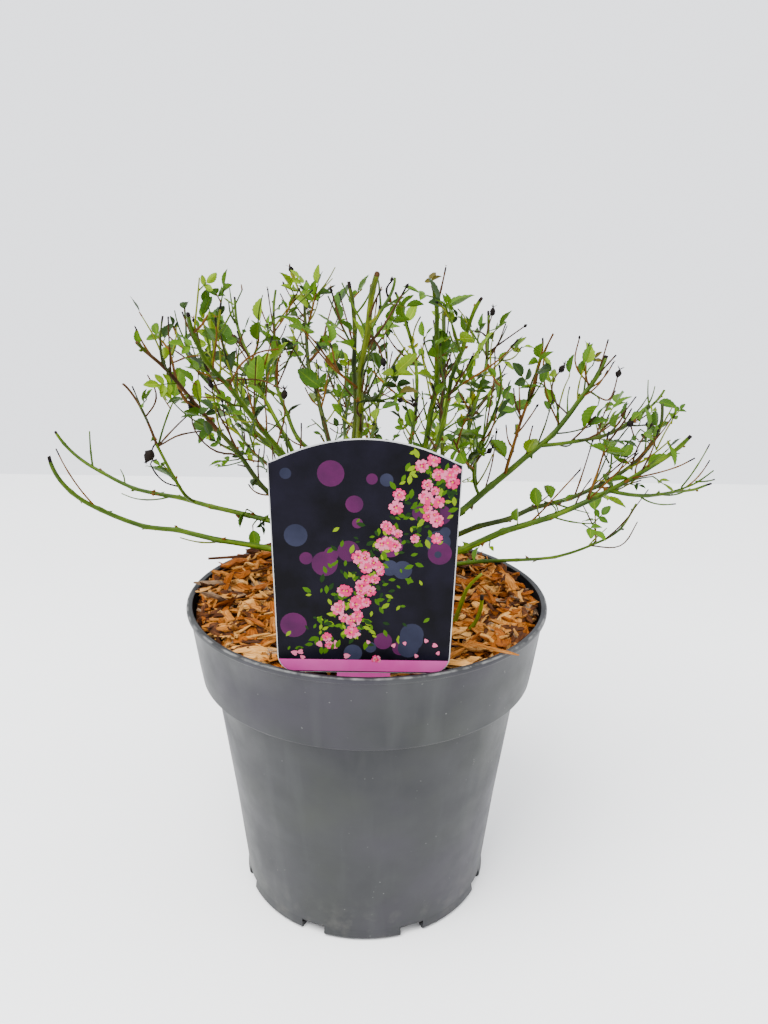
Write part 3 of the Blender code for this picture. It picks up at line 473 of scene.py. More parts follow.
def pot_profile():
    """The pot's (radius, height) line from the middle of its foot, up the outside and down the inside."""
    lip_radius, lip_top = LIP_RADIUS - LIP_ROUNDING, POT_HEIGHT - LIP_ROUNDING
    return np.array([
        *arc(BASE_RADIUS - FOOT_INSET, FOOT_ROUNDING, FOOT_ROUNDING, -90, -12),
        *straight((BASE_RADIUS, FOOT_ROUNDING), (BODY_TOP_RADIUS, BAND_FOOT_HEIGHT),
                  (0.06, 0.2, 0.4, 0.6, 0.8, 0.97)),
        *arc(BODY_TOP_RADIUS + FILLET, BAND_FOOT_HEIGHT - FILLET, FILLET, 180, 95),
        *arc(BAND_FOOT_RADIUS - FILLET, BAND_FOOT_HEIGHT + STEP_RISE + FILLET, FILLET, -85, 0),
        *straight((BAND_FOOT_RADIUS, BAND_FOOT_HEIGHT), (BAND_TOP_RADIUS, POT_HEIGHT - LIP_DEPTH),
                  (0.3, 0.6, 0.97)),
        *arc(lip_radius, POT_HEIGHT - LIP_DEPTH + LIP_ROUNDING, LIP_ROUNDING, -90, 0),
        *arc(lip_radius, lip_top, LIP_ROUNDING, 0, 90),
        (BAND_TOP_RADIUS - WALL, POT_HEIGHT - LIP_ROUNDING / 2),
        (BAND_TOP_RADIUS - WALL, POT_HEIGHT - LIP_DEPTH),
        (BAND_FOOT_RADIUS - WALL, BAND_FOOT_HEIGHT + STEP_RISE + WALL),
        (BODY_TOP_RADIUS - WALL, BAND_FOOT_HEIGHT + STEP_RISE),
        (BODY_FOOT_RADIUS - WALL, BASE_EDGE_HEIGHT + STEP_RISE), (BASE_RADIUS - WALL, FLOOR),
    ])


def cut(piece, cutter):
    """Take a cutter's shape out of a piece with an applied Boolean, then remove the cutter."""
    modifier = piece.modifiers.new("cut", "BOOLEAN")
    modifier.operation, modifier.object, modifier.solver = "DIFFERENCE", cutter, "EXACT"
    bpy.context.view_layer.update()
    piece.data = bpy.data.meshes.new_from_object(piece.evaluated_get(bpy.context.evaluated_depsgraph_get()))
    piece.modifiers.clear()
    bpy.data.objects.remove(cutter, do_unlink=True)


# %% Pot finish
def pot_finish():
    """Grey plastic: cloudy tints, fine moulding grain, faint upright streaks, painted shade on the inner
    wall, a darker lip crest and a scuffed lip.
    """
    finish = Finish("pot_plastic", 0.5, 0.22)
    steps, noise, times = finish.steps, finish.noise, finish.times
    x, y, height = (finish.node("SeparateXYZ", {"Vector": finish.place}).outputs[axis] for axis in "XYZ")
    reach = finish.combine("SQRT", finish.combine("ADD", times(x, x), times(y, y)))
    tint = noise(13, 4)
    streaks = noise(60, 3, finish.node("Mapping", {"Vector": finish.place, "Scale": (1, 1, 0.08)}).outputs[0])
    slope = (BAND_TOP_RADIUS - BAND_FOOT_RADIUS) / (POT_HEIGHT - BAND_FOOT_HEIGHT)
    middle = BAND_FOOT_RADIUS - slope * BAND_FOOT_HEIGHT - WALL / 2
    outward = finish.combine("SUBTRACT", reach, times(height, slope))
    # the inner wall above the mulch, which gets painted shade
    inside = times(steps(outward, middle, middle - 0.0004),
                   steps(height, BAND_FOOT_HEIGHT, BAND_FOOT_HEIGHT + 0.001))
    edge = times(steps(height, POT_HEIGHT - 0.0009, POT_HEIGHT - 0.0004),
                 steps(reach, LIP_RADIUS - 0.0012, LIP_RADIUS - 0.0007))
    foot = times(steps(height, 0.030, 0.0), steps(noise(130, 5), 0.5, 0.7))
    colour = finish.tones(noise(22, 5), (0.30, (49, 50, 53)), (0.50, (59, 60, 62)), (0.72, (69, 70, 71)))
    for factor, tone in (
        # a violet and an olive cast, and the streaks
        (steps(tint, 0.52, 0.68, 0, 0.5), (68, 62, 76)),
        (steps(tint, 0.48, 0.32, 0, 0.5), (66, 70, 60)),
        (steps(streaks, 0.52, 0.75, 0, 0.35), (92, 94, 93)),
        # painted shade on the inner wall, and a darker band along the lip's crest
        (inside, (26, 26, 28)),
        (steps(height, POT_HEIGHT - 0.0012, POT_HEIGHT - 0.0002, 0, 0.7), (30, 30, 32)),
        # scuffs along the lip, specks of dust and dried splashes at the foot
        (times(edge, steps(noise(190, 6), 0.42, 0.62, 0.05, 0.75)), (150, 150, 148)),
        (steps(noise(520, 1), 0.775, 0.80, 0, 0.6), (150, 150, 146)),
        (times(foot, 0.35), (122, 119, 112)),
    ):
        colour = finish.stain(colour, factor, tone)
    finish.link(colour, "Base Color")
    finish.link(steps(noise(40, 4), 0.3, 0.7, 0.40, 0.58), "Roughness")
    finish.relief(noise(2600, 2), 0.00004, 0.5)
    finish.relief(noise(9, 2), 0.0010, 0.25)
    return finish.material


# %% Make the pot
def make_pot():
    """The pot with its drain slots, cut by boxes set round its foot. Every profile point (r, z) goes
    to (r cos a, r sin a, z) for each angle a."""
    profile, angle = pot_profile(), circle_steps(TURN_STEPS)
    radius, height = profile[:, 0, None], profile[:, 1, None]
    pile = Pile()
    closed_skin(pile, stacked(radius * np.cos(angle), radius * np.sin(angle), height),
                [(0, 0, profile[0, 1]), (0, 0, profile[-1, 1])])
    pot = pile.build("pot_shell", [pot_finish()])
    slots = Pile()
    corner = np.array([(x, y, z) for x in DRAIN_REACH for y in (-DRAIN_WIDTH / 2, DRAIN_WIDTH / 2)
                       for z in (-0.001, DRAIN_HEIGHT)])
    box_faces = [(0, 1, 3, 2), (4, 6, 7, 5), (0, 4, 5, 1), (2, 3, 7, 6), (0, 2, 6, 4), (1, 5, 7, 3)]
    for angle in circle_steps(DRAIN_COUNT) + math.radians(DRAIN_FIRST_AZIMUTH):
        cos, sin = math.cos(angle), math.sin(angle)
        slots.add(corner @ [(cos, sin, 0), (-sin, cos, 0), (0, 0, 1)], box_faces)
    cut(pot, slots.build("slot_cutter", [], smooth=False))
    pot.data.set_sharp_from_angle(angle=CREASE)
    dress(pot, "pot_plastic", "pot")


make_pot()

# %% [markdown]
# ## Potting mix and bark mulch
# Under the mulch the pot is full of dark compost, which only shows through the drain slots, so
# its solid stays and just gets a crumbly finish. The mulch on top is torn pine bark: flat chips,
# long slivers and fine dust in tones from straw to dark rust, lying every way over each other.
# The dust is one lumpy surface. Every chip is the same small grid, a hexagon or a square carried
# along the chip's length, with its own length, width, bend and torn corners, so hundreds are
# made at once.

# %% Potting mix
def crumb_finish(name, gloss, boost, scale, depth, *stops):
    """Crumbs with deep shadows between: one fine noise gives both the tones and the relief."""
    finish = Finish(name, 0.95, gloss, boost=boost)
    crumbs = finish.noise(scale, 6)
    finish.link(finish.tones(crumbs, *stops), "Base Color")
    finish.relief(crumbs, depth)
    return finish.material


mix = frame["nodes"]["potting_mix"]
mix.data.materials.clear()
mix.data.materials.append(crumb_finish("potting_mix", 0.5, BOOST, 500, 0.0008, (0.35, (30, 22, 16)),
                                       (0.6, (62, 46, 34)), (0.75, (96, 74, 54))))
print("potting mix dressed")

# %% Mulch surface
GROUND = 0.1597           # level spot that the crown stands on
PAD_RADIUS = 0.0185
PAD_BLEND = 0.010
MULCH_LEVEL = 0.1590
MULCH_BOTTOM = 0.1288
MULCH_EDGE_DROP = 0.0008
MULCH_HEAP = 0.0066
MULCH_HEAP_AZIMUTH = 108.0
MULCH_HEAP_START = 0.030
MULCH_LUMPS = ((0.0014, 210, 170), (0.0010, 390, 240))   # rise and waves per metre each way
DUST_SINK = 0.0012        # how far the dust lies under the chips
BED_GAP = 0.0006
BED_STEPS = 96


def inner_radius(height):
    """Radius of the band's inner wall at a height."""
    share = np.clip((np.asarray(height) - BAND_FOOT_HEIGHT) / (POT_HEIGHT - BAND_FOOT_HEIGHT), 0, 1)
    return BAND_FOOT_RADIUS + (BAND_TOP_RADIUS - BAND_FOOT_RADIUS) * share - WALL


def mulch_height(x, y):
    """Height of the mulch: lumpy, rising from the card to the rim at the back, level under the crown."""
    radius = np.hypot(x, y)
    lumps = sum(rise * np.sin(across * x + 1.0) * np.cos(along * y) for rise, across, along in MULCH_LUMPS)
    side = np.cos(np.arctan2(y, x) - math.radians(MULCH_HEAP_AZIMUTH))
    outward = np.clip(radius / MULCH_HEAP_START - 1.0, 0, 1)
    dome = MULCH_LEVEL - MULCH_EDGE_DROP * (radius / inner_radius(MULCH_LEVEL)) ** 3
    surface = dome + lumps + MULCH_HEAP * (1 + side) / 2 * outward
    blend = np.clip((radius - PAD_RADIUS) / PAD_BLEND, 0, 1)
    return GROUND + (surface - GROUND) * blend


def mulch_bed():
    """The dust's skin: rings at the mulch's height, then down the wall and closed below."""
    rings = np.append(np.linspace(0.001, 1.0, 34), [1.0, 0.5])
    angle = circle_steps(BED_STEPS)
    reach = inner_radius(MULCH_LEVEL) - BED_GAP
    x, y = rings[:, None] * reach * np.cos(angle), rings[:, None] * reach * np.sin(angle)
    z = mulch_height(x, y) - DUST_SINK
    for axis in (x, y):
        axis[-2:] *= (inner_radius(MULCH_BOTTOM) - BED_GAP) / reach
    z[-2:] = MULCH_BOTTOM
    pile = Pile()
    closed_skin(pile, stacked(x, y, z), [(0, 0, GROUND - DUST_SINK), (0, 0, MULCH_BOTTOM)], clockwise=True)
    dust = crumb_finish("bark_dust", 0.1, 1.35, 700, 0.0012, (0.34, (22, 12, 8)), (0.54, (70, 38, 20)),
                        (0.74, (128, 78, 44)))
    dress(pile.build("mulch_dust", [dust]), "bark_mulch", "bark_mulch")


mulch_bed()

# %% Bark chips
BARK_TONES = {
    # name: darkest, middle and lightest screen colour of the grain
    "bark_rust": ((70, 34, 16), (138, 80, 44), (184, 122, 76)),
    "bark_straw": ((134, 86, 50), (208, 156, 104), (242, 204, 158)),
    "bark_tan": ((96, 56, 30), (172, 116, 72), (216, 164, 116)),
    "bark_umber": ((30, 18, 12), (74, 44, 28), (122, 80, 54)),
    "bark_grey": ((70, 54, 44), (136, 112, 92), (186, 162, 138)),
}
BARK_SHARES = (0.29, 0.20, 0.25, 0.21, 0.05)
LABEL_Y = -0.0790           # the card stands across the pot here
CLEAR_OF_CARD = 0.041       # half the width of the stretch before the card where chips lie low,
CLEAR_BEFORE = 0.006        # from this far behind the card
LOW_CHIP = 0.1608           # and the height that they stay under there
CLEAR_OF_SPIKE = (0.0125, 0.0012)
CLEAR_OF_CROWN = 0.0125
CLEAR_OF_WALL = 0.0004
BED_RADIUS = 0.0885
CHIP_SEED, STRAY_SEED = 7, 3
STRAY_GRID = (5, 6)         # stations and corners
SCATTERS = (
    # count, length, width as a share of it, thickness, lift over the bed, tilt in degrees, stations and
    # corners of a chip's grid, least distance from the middle
    (520, (0.010, 0.027), (0.26, 0.50), (0.0018, 0.0042), (-0.0015, 0.0022), 11, 5, 6, 0.0),
    (620, (0.008, 0.020), (0.09, 0.20), (0.0008, 0.0018), (0.0006, 0.0042), 13, 4, 4, 0.0),
    (1300, (0.002, 0.008), (0.25, 0.60), (0.0006, 0.0014), (0.0000, 0.0040), 25, 4, 4, 0.0),
    (420, (0.008, 0.022), (0.22, 0.50), (0.0018, 0.0038), (0.0010, 0.0048), 15, 5, 6, 0.0740),
    (500, (0.003, 0.010), (0.20, 0.50), (0.0008, 0.0016), (0.0020, 0.0062), 25, 4, 4, 0.0760),
)


def bark_finish(name, tones):
    """Torn bark: fibres that run along the chip, with fine ridges."""
    finish = Finish(name, 0.85, 0.12, deepen=0.62, boost=1.30)
    fibres = finish.noise(1.0, 5, finish.along_uv(26, 2.2), distortion=0.4)
    grain = finish.blend(fibres, 0.7, finish.noise(180, 4))
    finish.link(finish.tones(grain, (0.33, tones[0]), (0.50, tones[1]), (0.68, tones[2])), "Base Color")
    finish.relief(fibres, 0.0007)
    finish.relief(finish.noise(1500, 3), 0.0002, 0.6)
    return finish.material


def chip_shapes(rng, lengths, widths, depths, stations, around):
    """Chips along X: at each station a flat polygon of the chip's width and depth, narrower at the
    ends, bent in an arc and with every corner moved a little. Returns an (m, k, 3) array."""
    count = len(lengths)
    lengths, widths, depths = (sizes[:, None, None] for sizes in (lengths, widths, depths))
    t = np.linspace(-1, 1, stations)[:, None]
    angle = circle_steps(around) + math.pi / around
    taper = np.clip(1.0 - 0.55 * np.abs(t) ** 3, 0, 1) * rng.uniform(0.75, 1.0, (count, stations, 1))
    flat = np.sign(np.cos(angle)) * np.abs(np.cos(angle)) ** 0.7
    bend = rng.uniform(-0.12, 0.12, (count, 1, 1))
    x = t * lengths / 2
    y = flat * taper * widths / 2 + bend * t**2 * lengths
    z = np.sin(angle) * taper * depths / 2 + bend[::-1] * 0.5 * t**2 * lengths
    shapes = stacked(x, y, z)
    loose = stacked(0.35 * widths, 0.16 * widths, 0.35 * depths)
    return (shapes + rng.normal(0, 0.42, shapes.shape) * loose).reshape(count, -1, 3)


def chip_faces(stations, around):
    """Quads round and along a chip, with two quads or one at each end."""
    last = (stations - 1) * around
    if around == 6:
        caps = [(5, 2, 1, 0), (5, 4, 3, 2), (last, last + 1, last + 2, last + 5),
                (last + 2, last + 3, last + 4, last + 5)]
    else:
        caps = [(3, 2, 1, 0), (last, last + 1, last + 2, last + 3)]
    return np.vstack([grid_faces(stations, around, wrap=True), caps])


def chip_uvs(stations, around):
    """UV pairs of a chip's grid: across it and along it, each from 0 to 1."""
    return stacked(np.linspace(0, 1, around), np.linspace(0, 1, stations)[:, None]).reshape(-1, 2)


def lie(rng, shapes, places, tilt):
    """Turn each shape to a random azimuth, tip it by up to tilt degrees and set it at its place."""
    count = len(shapes)
    yaw, pitch, roll = (rng.uniform(0, 2 * math.pi, count), np.radians(rng.normal(0, tilt, count)),
                        np.radians(rng.normal(0, tilt, count)))
    cy, sy, cp, sp, cr, sr = (wave(angle) for angle in (yaw, pitch, roll) for wave in (np.cos, np.sin))
    turn = np.stack([stacked(cy * cp, cy * sp * sr - sy * cr, cy * sp * cr + sy * sr),
                     stacked(sy * cp, sy * sp * sr + cy * cr, sy * sp * cr - cy * sr),
                     stacked(-sp, cp * sr, cp * cr)], axis=1)
    return np.einsum("mij,mkj->mki", turn, shapes) + places[:, None]


def fits_in_pot(shapes):
    """Which shapes keep inside the band's wall, clear of the crown and the spike, and low before the card."""
    x, y, z = shapes[..., 0], shapes[..., 1], shapes[..., 2]
    radius = np.hypot(x, y)
    wall = inner_radius(np.minimum(z, POT_HEIGHT)) - CLEAR_OF_WALL
    at_spike = (np.abs(x) < CLEAR_OF_SPIKE[0]) & (np.abs(y - LABEL_Y) < CLEAR_OF_SPIKE[1])
    before = (np.abs(x) < CLEAR_OF_CARD) & (y < LABEL_Y + CLEAR_BEFORE) & (z > LOW_CHIP)
    return (radius < wall).all(1) & (radius.min(1) > CLEAR_OF_CROWN) & ~at_spike.any(1) & ~before.any(1)


def scatter(rng, pile, count, lengths, ratio, depths, lift, tilt, stations, around, inner):
    """Strew chips over the bed: places even over the disc outside the inner radius, at the bed's
    height plus a lift."""
    radius = np.sqrt(rng.uniform(inner**2, BED_RADIUS**2, count))
    azimuth = rng.uniform(0, 2 * math.pi, count)
    x, y = radius * np.cos(azimuth), radius * np.sin(azimuth)
    length = rng.uniform(*lengths, count)
    shapes = chip_shapes(rng, length, length * rng.uniform(*ratio, count), rng.uniform(*depths, count),
                         stations, around)
    places = stacked(x, y, mulch_height(x, y) + rng.uniform(*lift, count))
    shapes = lie(rng, shapes, places, tilt)
    shapes = shapes[fits_in_pot(shapes)]
    slots = rng.choice(len(BARK_TONES), len(shapes), p=BARK_SHARES)
    copies(pile, shapes, chip_faces(stations, around), slots, chip_uvs(stations, around))


bark_materials = [bark_finish(name, tones) for name, tones in BARK_TONES.items()]
rng = np.random.default_rng(CHIP_SEED)
pile = Pile()
for row in SCATTERS:
    scatter(rng, pile, *row)
dress(pile.build("mulch_chips", bark_materials, smooth=False), "bark_mulch", "bark_mulch")

# %% Stray bits of bark
STRAYS = (
    # azimuth, reach and height of the place, azimuth and tilt of the bit, length, width, depth, tone
    (147, 0.0870, 0.1690, 205, 5, 0.043, 0.0030, 0.0022, 3),
    (141, 0.0800, 0.1672, 192, 9, 0.030, 0.0040, 0.0026, 0),
    (312, 0.0905, 0.1684, 338, -4, 0.022, 0.0026, 0.0014, 2),
    (231, 0.0820, 0.1640, 196, 7, 0.025, 0.0105, 0.0030, 1),
    (301, 0.0830, 0.1630, 172, 3, 0.020, 0.0085, 0.0030, 1),
    (193, 0.0780, 0.1652, 168, 4, 0.021, 0.0080, 0.0028, 2),
    (176, 0.0860, 0.1690, 186, 3, 0.016, 0.0050, 0.0030, 4),
    (158, 0.0840, 0.1702, 240, 4, 0.019, 0.0090, 0.0040, 0),
    (340, 0.0800, 0.1640, 60, 6, 0.026, 0.0080, 0.0034, 2),
    (22, 0.0810, 0.1655, 118, 5, 0.030, 0.0070, 0.0032, 3),
)


def stray_bits():
    """The bigger bits that lie on the heap or over the rim, each set one by one."""
    pile = Pile()
    rng = np.random.default_rng(STRAY_SEED)
    for azimuth, reach, height, bearing, tilt, length, width, depth, tone in STRAYS:
        shape = chip_shapes(rng, *np.array([[length], [width], [depth]]), *STRAY_GRID)[0]
        along = heading(bearing, tilt)
        across = unit(np.cross((0, 0, 1), along))
        shape = shape @ np.stack([along, across, np.cross(along, across)]) + polar(azimuth, reach, height)
        pile.add(shape, chip_faces(*STRAY_GRID), tone, chip_uvs(*STRAY_GRID))
    dress(pile.build("mulch_strays", bark_materials, smooth=False), "bark_mulch", "bark_mulch")


stray_bits()

# %% [markdown]
# ## Plant card
# The card is a sheet of white plastic with a dark glossy print, pushed into the mulch by its
# spike. Its print is a design of its own: a rose spray that climbs the card in an S, with pale
# bubbles of light behind it and a pink band at the foot. Each motif is a flat shape of a few
# faces, a hair's breadth in front of the one below, so the print needs no picture.

# %% Card sizes
LABEL_THICKNESS = 0.0009
LABEL_FOOT = 0.1620
LABEL_FOOT_WIDTH = 0.0770
LABEL_SHOULDER = 0.2590
LABEL_SHOULDER_WIDTH = 0.0820
LABEL_TOP = 0.2700
LABEL_CORNER = 0.0080
SPIKE_WIDTH = 0.0240
SPIKE_TIP = 0.1320
SPIKE_POINT_HEIGHT = 0.0080
CARD_COLUMNS = 12
PRINT_MARGIN = 0.0004
PRINT_FOOT = 0.0045     # motifs keep this far above the card's foot
PRINT_LAYER = 0.00002   # how far each layer of print stands before the last
PRINT_STEP = 0.0000015  # and each motif before the last of its layer
CARD_FRONT = LABEL_Y - LABEL_THICKNESS / 2


def card_side(z):
    """Half the card's width at a height: straight sides that widen upwards, round lower corners."""
    share = np.clip((z - LABEL_FOOT) / (LABEL_SHOULDER - LABEL_FOOT), 0, 1)
    half = (LABEL_FOOT_WIDTH + (LABEL_SHOULDER_WIDTH - LABEL_FOOT_WIDTH) * share) / 2
    drop = np.clip(LABEL_FOOT + LABEL_CORNER - z, 0, LABEL_CORNER)
    return half - (LABEL_CORNER - np.sqrt(LABEL_CORNER**2 - drop**2))


def card_outline(inset):
    """Right half of the card's outline as (x, z), from its foot to the top of its arch."""
    z = np.concatenate([LABEL_FOOT + LABEL_CORNER * (1 - np.cos(np.linspace(0, math.pi / 2, 9))),
                        np.linspace(LABEL_FOOT + LABEL_CORNER, LABEL_SHOULDER, 8)[1:]])
    x = card_side(z) - inset
    arch = np.linspace(1, 0, 14)
    top_x = arch * x[-1]
    top_z = LABEL_SHOULDER + (LABEL_TOP - LABEL_SHOULDER) * (1 - arch**2) - inset
    z[0] += inset
    return np.concatenate([x, top_x[1:]]), np.concatenate([z, top_z[1:]])


def card_sheet(pile, inset, front, back, slot):
    """A plate between two planes: rows across the card from side to side, front and back skins and
    an edge round them."""
    x, z = card_outline(inset)
    rows, count = np.arange(len(x)) * CARD_COLUMNS, len(x) * CARD_COLUMNS
    across = x[:, None] * np.linspace(-1, 1, CARD_COLUMNS)
    skins = [stacked(across, y, z[:, None]) for y in (front, back)]
    faces = grid_faces(len(x), CARD_COLUMNS)
    rim = np.concatenate([rows[::-1], np.arange(1, CARD_COLUMNS - 1), rows + CARD_COLUMNS - 1])
    after = np.roll(rim, -1)
    edge = np.stack([rim, after, after + count, rim + count], axis=1)[:-1]
    pile.add(np.reshape(skins, (-1, 3)), np.vstack([faces, faces[:, ::-1] + count, edge[:, ::-1]]), slot)


# %% Card finishes
def print_finish(name, colour, other):
    """Glossy print: one ink with a slight drift towards a second, under clear film."""
    finish = Finish(name, 0.38, 0.06, boost=1.3)
    drift = finish.steps(finish.noise(55, 3), 0.35, 0.65)
    finish.link(finish.stain(finish.screen(colour), drift, other), "Base Color")
    finish.relief(finish.noise(30, 2), 0.0004, 0.15)
    return finish.material


INKS = (
    ("card_white", (238, 238, 236), (228, 228, 228)), ("card_night", (9, 8, 14), (24, 22, 34)),
    ("card_band", (226, 104, 176), (238, 122, 190)), ("card_mist", (58, 60, 78), (42, 44, 60)),
    ("card_glow", (96, 42, 84), (70, 34, 66)), ("card_leaf", (92, 124, 40), (70, 100, 34)),
    ("card_leaf_light", (150, 172, 78), (128, 152, 62)), ("card_leaf_deep", (40, 64, 30), (30, 50, 26)),
    ("card_rose", (232, 92, 134), (220, 78, 122)), ("card_rose_light", (246, 150, 176), (240, 132, 164)),
    ("card_rose_deep", (176, 44, 92), (160, 38, 84)), ("card_heart", (246, 206, 120), (240, 190, 100)),
)
INK = {row[0]: number for number, row in enumerate(INKS)}
ink_materials = [print_finish(*row) for row in INKS]
print("inks:", len(INKS))


# %% Print motifs
# the two flat outlines grow along +X from the origin
PETAL = ((0.0, 0.0), (0.35, -0.30), (0.75, -0.42), (0.98, -0.24), (0.90, 0.0), (0.98, 0.24), (0.75, 0.42),
         (0.35, 0.30))
LEAF_BLADE = ((0.0, 0.0), (0.25, -0.20), (0.55, -0.24), (0.82, -0.12), (1.0, 0.0), (0.82, 0.12), (0.55, 0.24),
              (0.25, 0.20))
BAND_STRIPS = (0.0007, 0.0022, 0.0040, 0.0064)   # heights over the card's foot
PRINT_SEED = 19
PRINT_BACK = 0.0001     # how far the ground of the print and the spike reach into the sheet
GLOWS, PRINTED_LEAVES, LOOSE_PETALS = 34, 330, 16
ROSE_PLACES, ROSES_A_PLACE = 15, 4
ROSE_RINGS = (
    # petals, their length as a share of the rose's, and their two inks
    (5, 1.0, ("card_rose", "card_rose_light")),
    (5, 0.66, ("card_rose_light", "card_rose")),
    (4, 0.40, ("card_rose_deep", "card_rose")),
)


def flat_shape(pile, outline, places, sizes, turns, layer, slot):
    """Copies of a flat (x, z) outline round a middle point: each is scaled, turned by degrees and
    set at its (x, z) place on a layer of print. Shapes that cross the card's edge are left out."""
    places, sizes = np.atleast_2d(places), np.atleast_1d(sizes).astype(float)
    angle = np.radians(np.broadcast_to(turns, (len(places),)))
    outline = np.vstack([outline, np.mean(outline, axis=0)])
    x = outline[:, 0] * np.cos(angle)[:, None] - outline[:, 1] * np.sin(angle)[:, None]
    z = outline[:, 0] * np.sin(angle)[:, None] + outline[:, 1] * np.cos(angle)[:, None]
    x, z = x * sizes[:, None] + places[:, :1], z * sizes[:, None] + places[:, 1:]
    arch = LABEL_SHOULDER + (LABEL_TOP - LABEL_SHOULDER) * (1 - (x / card_side(LABEL_SHOULDER)) ** 2)
    keep = ((np.abs(x) < card_side(z) - PRINT_MARGIN) & (z > LABEL_FOOT + PRINT_FOOT)
            & (z < arch - PRINT_MARGIN)).all(1)
    depth = CARD_FRONT - layer * PRINT_LAYER - np.arange(len(places))[:, None] * PRINT_STEP
    shapes = stacked(x, depth, z)[keep]
    slots = np.broadcast_to(slot, (len(places),))[keep]
    if keep.any():
        copies(pile, shapes, fan(len(outline) - 1, np.arange(len(outline) - 1)), slots)


def circle(sides):
    """Unit circle."""
    angle = circle_steps(sides)
    return stacked(np.cos(angle), np.sin(angle))


def blossoms(pile, rng, places, sizes, layer):
    """Open roses: three rings of petals, each shorter than the one below, and a heart."""
    for rise, (petals, reach, inks) in enumerate(ROSE_RINGS):
        start = rng.uniform(0, 360, len(places))
        for number in range(petals):
            slot = [INK[inks[pick]] for pick in rng.integers(0, 2, len(places))]
            flat_shape(pile, PETAL, places, sizes * reach, start + number * 360 / petals,
                       layer + rise + 0.1 * number, slot)
    flat_shape(pile, circle(8), places, sizes * 0.13, 0, layer + 3, INK["card_heart"])


def spray_line(share):
    """The spray's stem: an S from the lower left of the card to its upper right."""
    z = LABEL_FOOT + 0.014 + 0.084 * share
    x = 0.006 - 0.021 * np.cos(share * math.pi * 1.15) + 0.006 * np.sin(share * 9.0)
    return stacked(x, z)


def strewn(rng, half, low, high, count):
    """Random (x, z) places on the card, up to half its width either way and between two heights."""
    return stacked(rng.uniform(-half, half, count), rng.uniform(LABEL_FOOT + low, LABEL_FOOT + high, count))


def print_card(pile):
    """The whole print, from its ground to the topmost blossoms."""
    rng = np.random.default_rng(PRINT_SEED)
    card_sheet(pile, PRINT_MARGIN, CARD_FRONT - 0.5 * PRINT_LAYER, CARD_FRONT + PRINT_BACK, INK["card_night"])
    y = CARD_FRONT - 6 * PRINT_LAYER
    for foot, top in zip(BAND_STRIPS, BAND_STRIPS[1:]):
        foot, top = LABEL_FOOT + foot, LABEL_FOOT + top
        low, high = card_side(foot) - PRINT_MARGIN, card_side(top) - PRINT_MARGIN
        pile.add([(-low, y, foot), (low, y, foot), (high, y, top), (-high, y, top)], [(0, 1, 2, 3)],
                 INK["card_band"])
    places = strewn(rng, 0.038, 0.006, LABEL_TOP - LABEL_FOOT, GLOWS)
    flat_shape(pile, circle(20), places, rng.uniform(0.0015, 0.0060, GLOWS), 0, 1,
               rng.choice([INK["card_mist"], INK["card_glow"]], GLOWS))
    share = rng.uniform(0, 1, PRINTED_LEAVES)
    off = stacked(rng.normal(0, 0.0105, PRINTED_LEAVES), rng.normal(0, 0.0065, PRINTED_LEAVES))
    off *= (1.15 - 0.5 * share)[:, None]
    leaves = spray_line(share) + off
    order = np.argsort(-np.abs(off[:, 0]))
    inks = rng.choice([INK["card_leaf_deep"], INK["card_leaf"], INK["card_leaf_light"]], PRINTED_LEAVES,
                      p=(0.3, 0.42, 0.28))
    for layer, part in enumerate(np.array_split(order, 6)):
        flat_shape(pile, LEAF_BLADE, leaves[part], rng.uniform(0.0022, 0.0048, len(part)),
                   rng.uniform(0, 360, len(part)), 2 + layer, inks[part])
    roses = np.repeat(spray_line(np.linspace(0.04, 0.97, ROSE_PLACES)), ROSES_A_PLACE, axis=0)
    roses += rng.normal(0, 0.0052, roses.shape)
    for layer, part in enumerate(np.array_split(np.arange(len(roses)), 4)):
        blossoms(pile, rng, roses[part], rng.uniform(0.0019, 0.0034, len(part)), 9 + 4 * layer)
    petals = strewn(rng, 0.034, 0.008, 0.018, LOOSE_PETALS)
    flat_shape(pile, PETAL, petals, rng.uniform(0.0020, 0.0034, LOOSE_PETALS),
               rng.uniform(0, 360, LOOSE_PETALS), 8, INK["card_rose_light"])


# %% Make the card
def make_card():
    """The white sheet with its spike, and the print on its face."""
    pile = Pile()
    card_sheet(pile, 0.0, CARD_FRONT, CARD_FRONT + LABEL_THICKNESS, INK["card_white"])
    rows = ((SPIKE_WIDTH / 2, LABEL_FOOT + 0.001), (SPIKE_WIDTH / 2, SPIKE_TIP + SPIKE_POINT_HEIGHT),
            (SPIKE_WIDTH / 20, SPIKE_TIP))
    skins = (CARD_FRONT + PRINT_BACK, CARD_FRONT + LABEL_THICKNESS - PRINT_BACK)
    spike = [(side * half, y, z) for y in skins for half, z in rows for side in (-1, 1)]
    faces = [(0, 2, 3, 1), (2, 4, 5, 3), (6, 7, 9, 8), (8, 9, 11, 10), (0, 6, 8, 2), (2, 8, 10, 4),
             (1, 3, 9, 7), (3, 5, 11, 9), (4, 10, 11, 5), (0, 1, 7, 6)]
    pile.add(spike, faces, INK["card_band"])
    print_card(pile)
    dress(pile.build("plant_card", ink_materials, smooth=False), "label_card", "plant_label")


make_card()

# %% [markdown]
# ## Canes
# A rose throws its canes from a low woody crown, and each is one smooth arch. Thirty rows hold
# where each cane leaves, where its tip is and how steep it arrives; a cubic between those two
# headings gives the arch. The same rows drive the solids, so every cane here runs down the
# middle of its solid, but as one unbroken limb from the crown to its cut tip.

# %% Cane rows
GAP = 0.0003            # clearance between solids that rest on or meet each other
FOOT_RADIUS = 0.0090
FOOT_HEIGHT = 0.1740
STUB_SHARE = 0.045      # least share of a cane that is its stub on the crown
STUB_ROOM = 0.0010      # room between a cane and its neighbours where its own solid starts
BOUGH_SIDES = 5
CLEARANCE = 0.0005      # kept between pieces of different nodes
NEARBY = 0.05           # rods further off than this are not measured


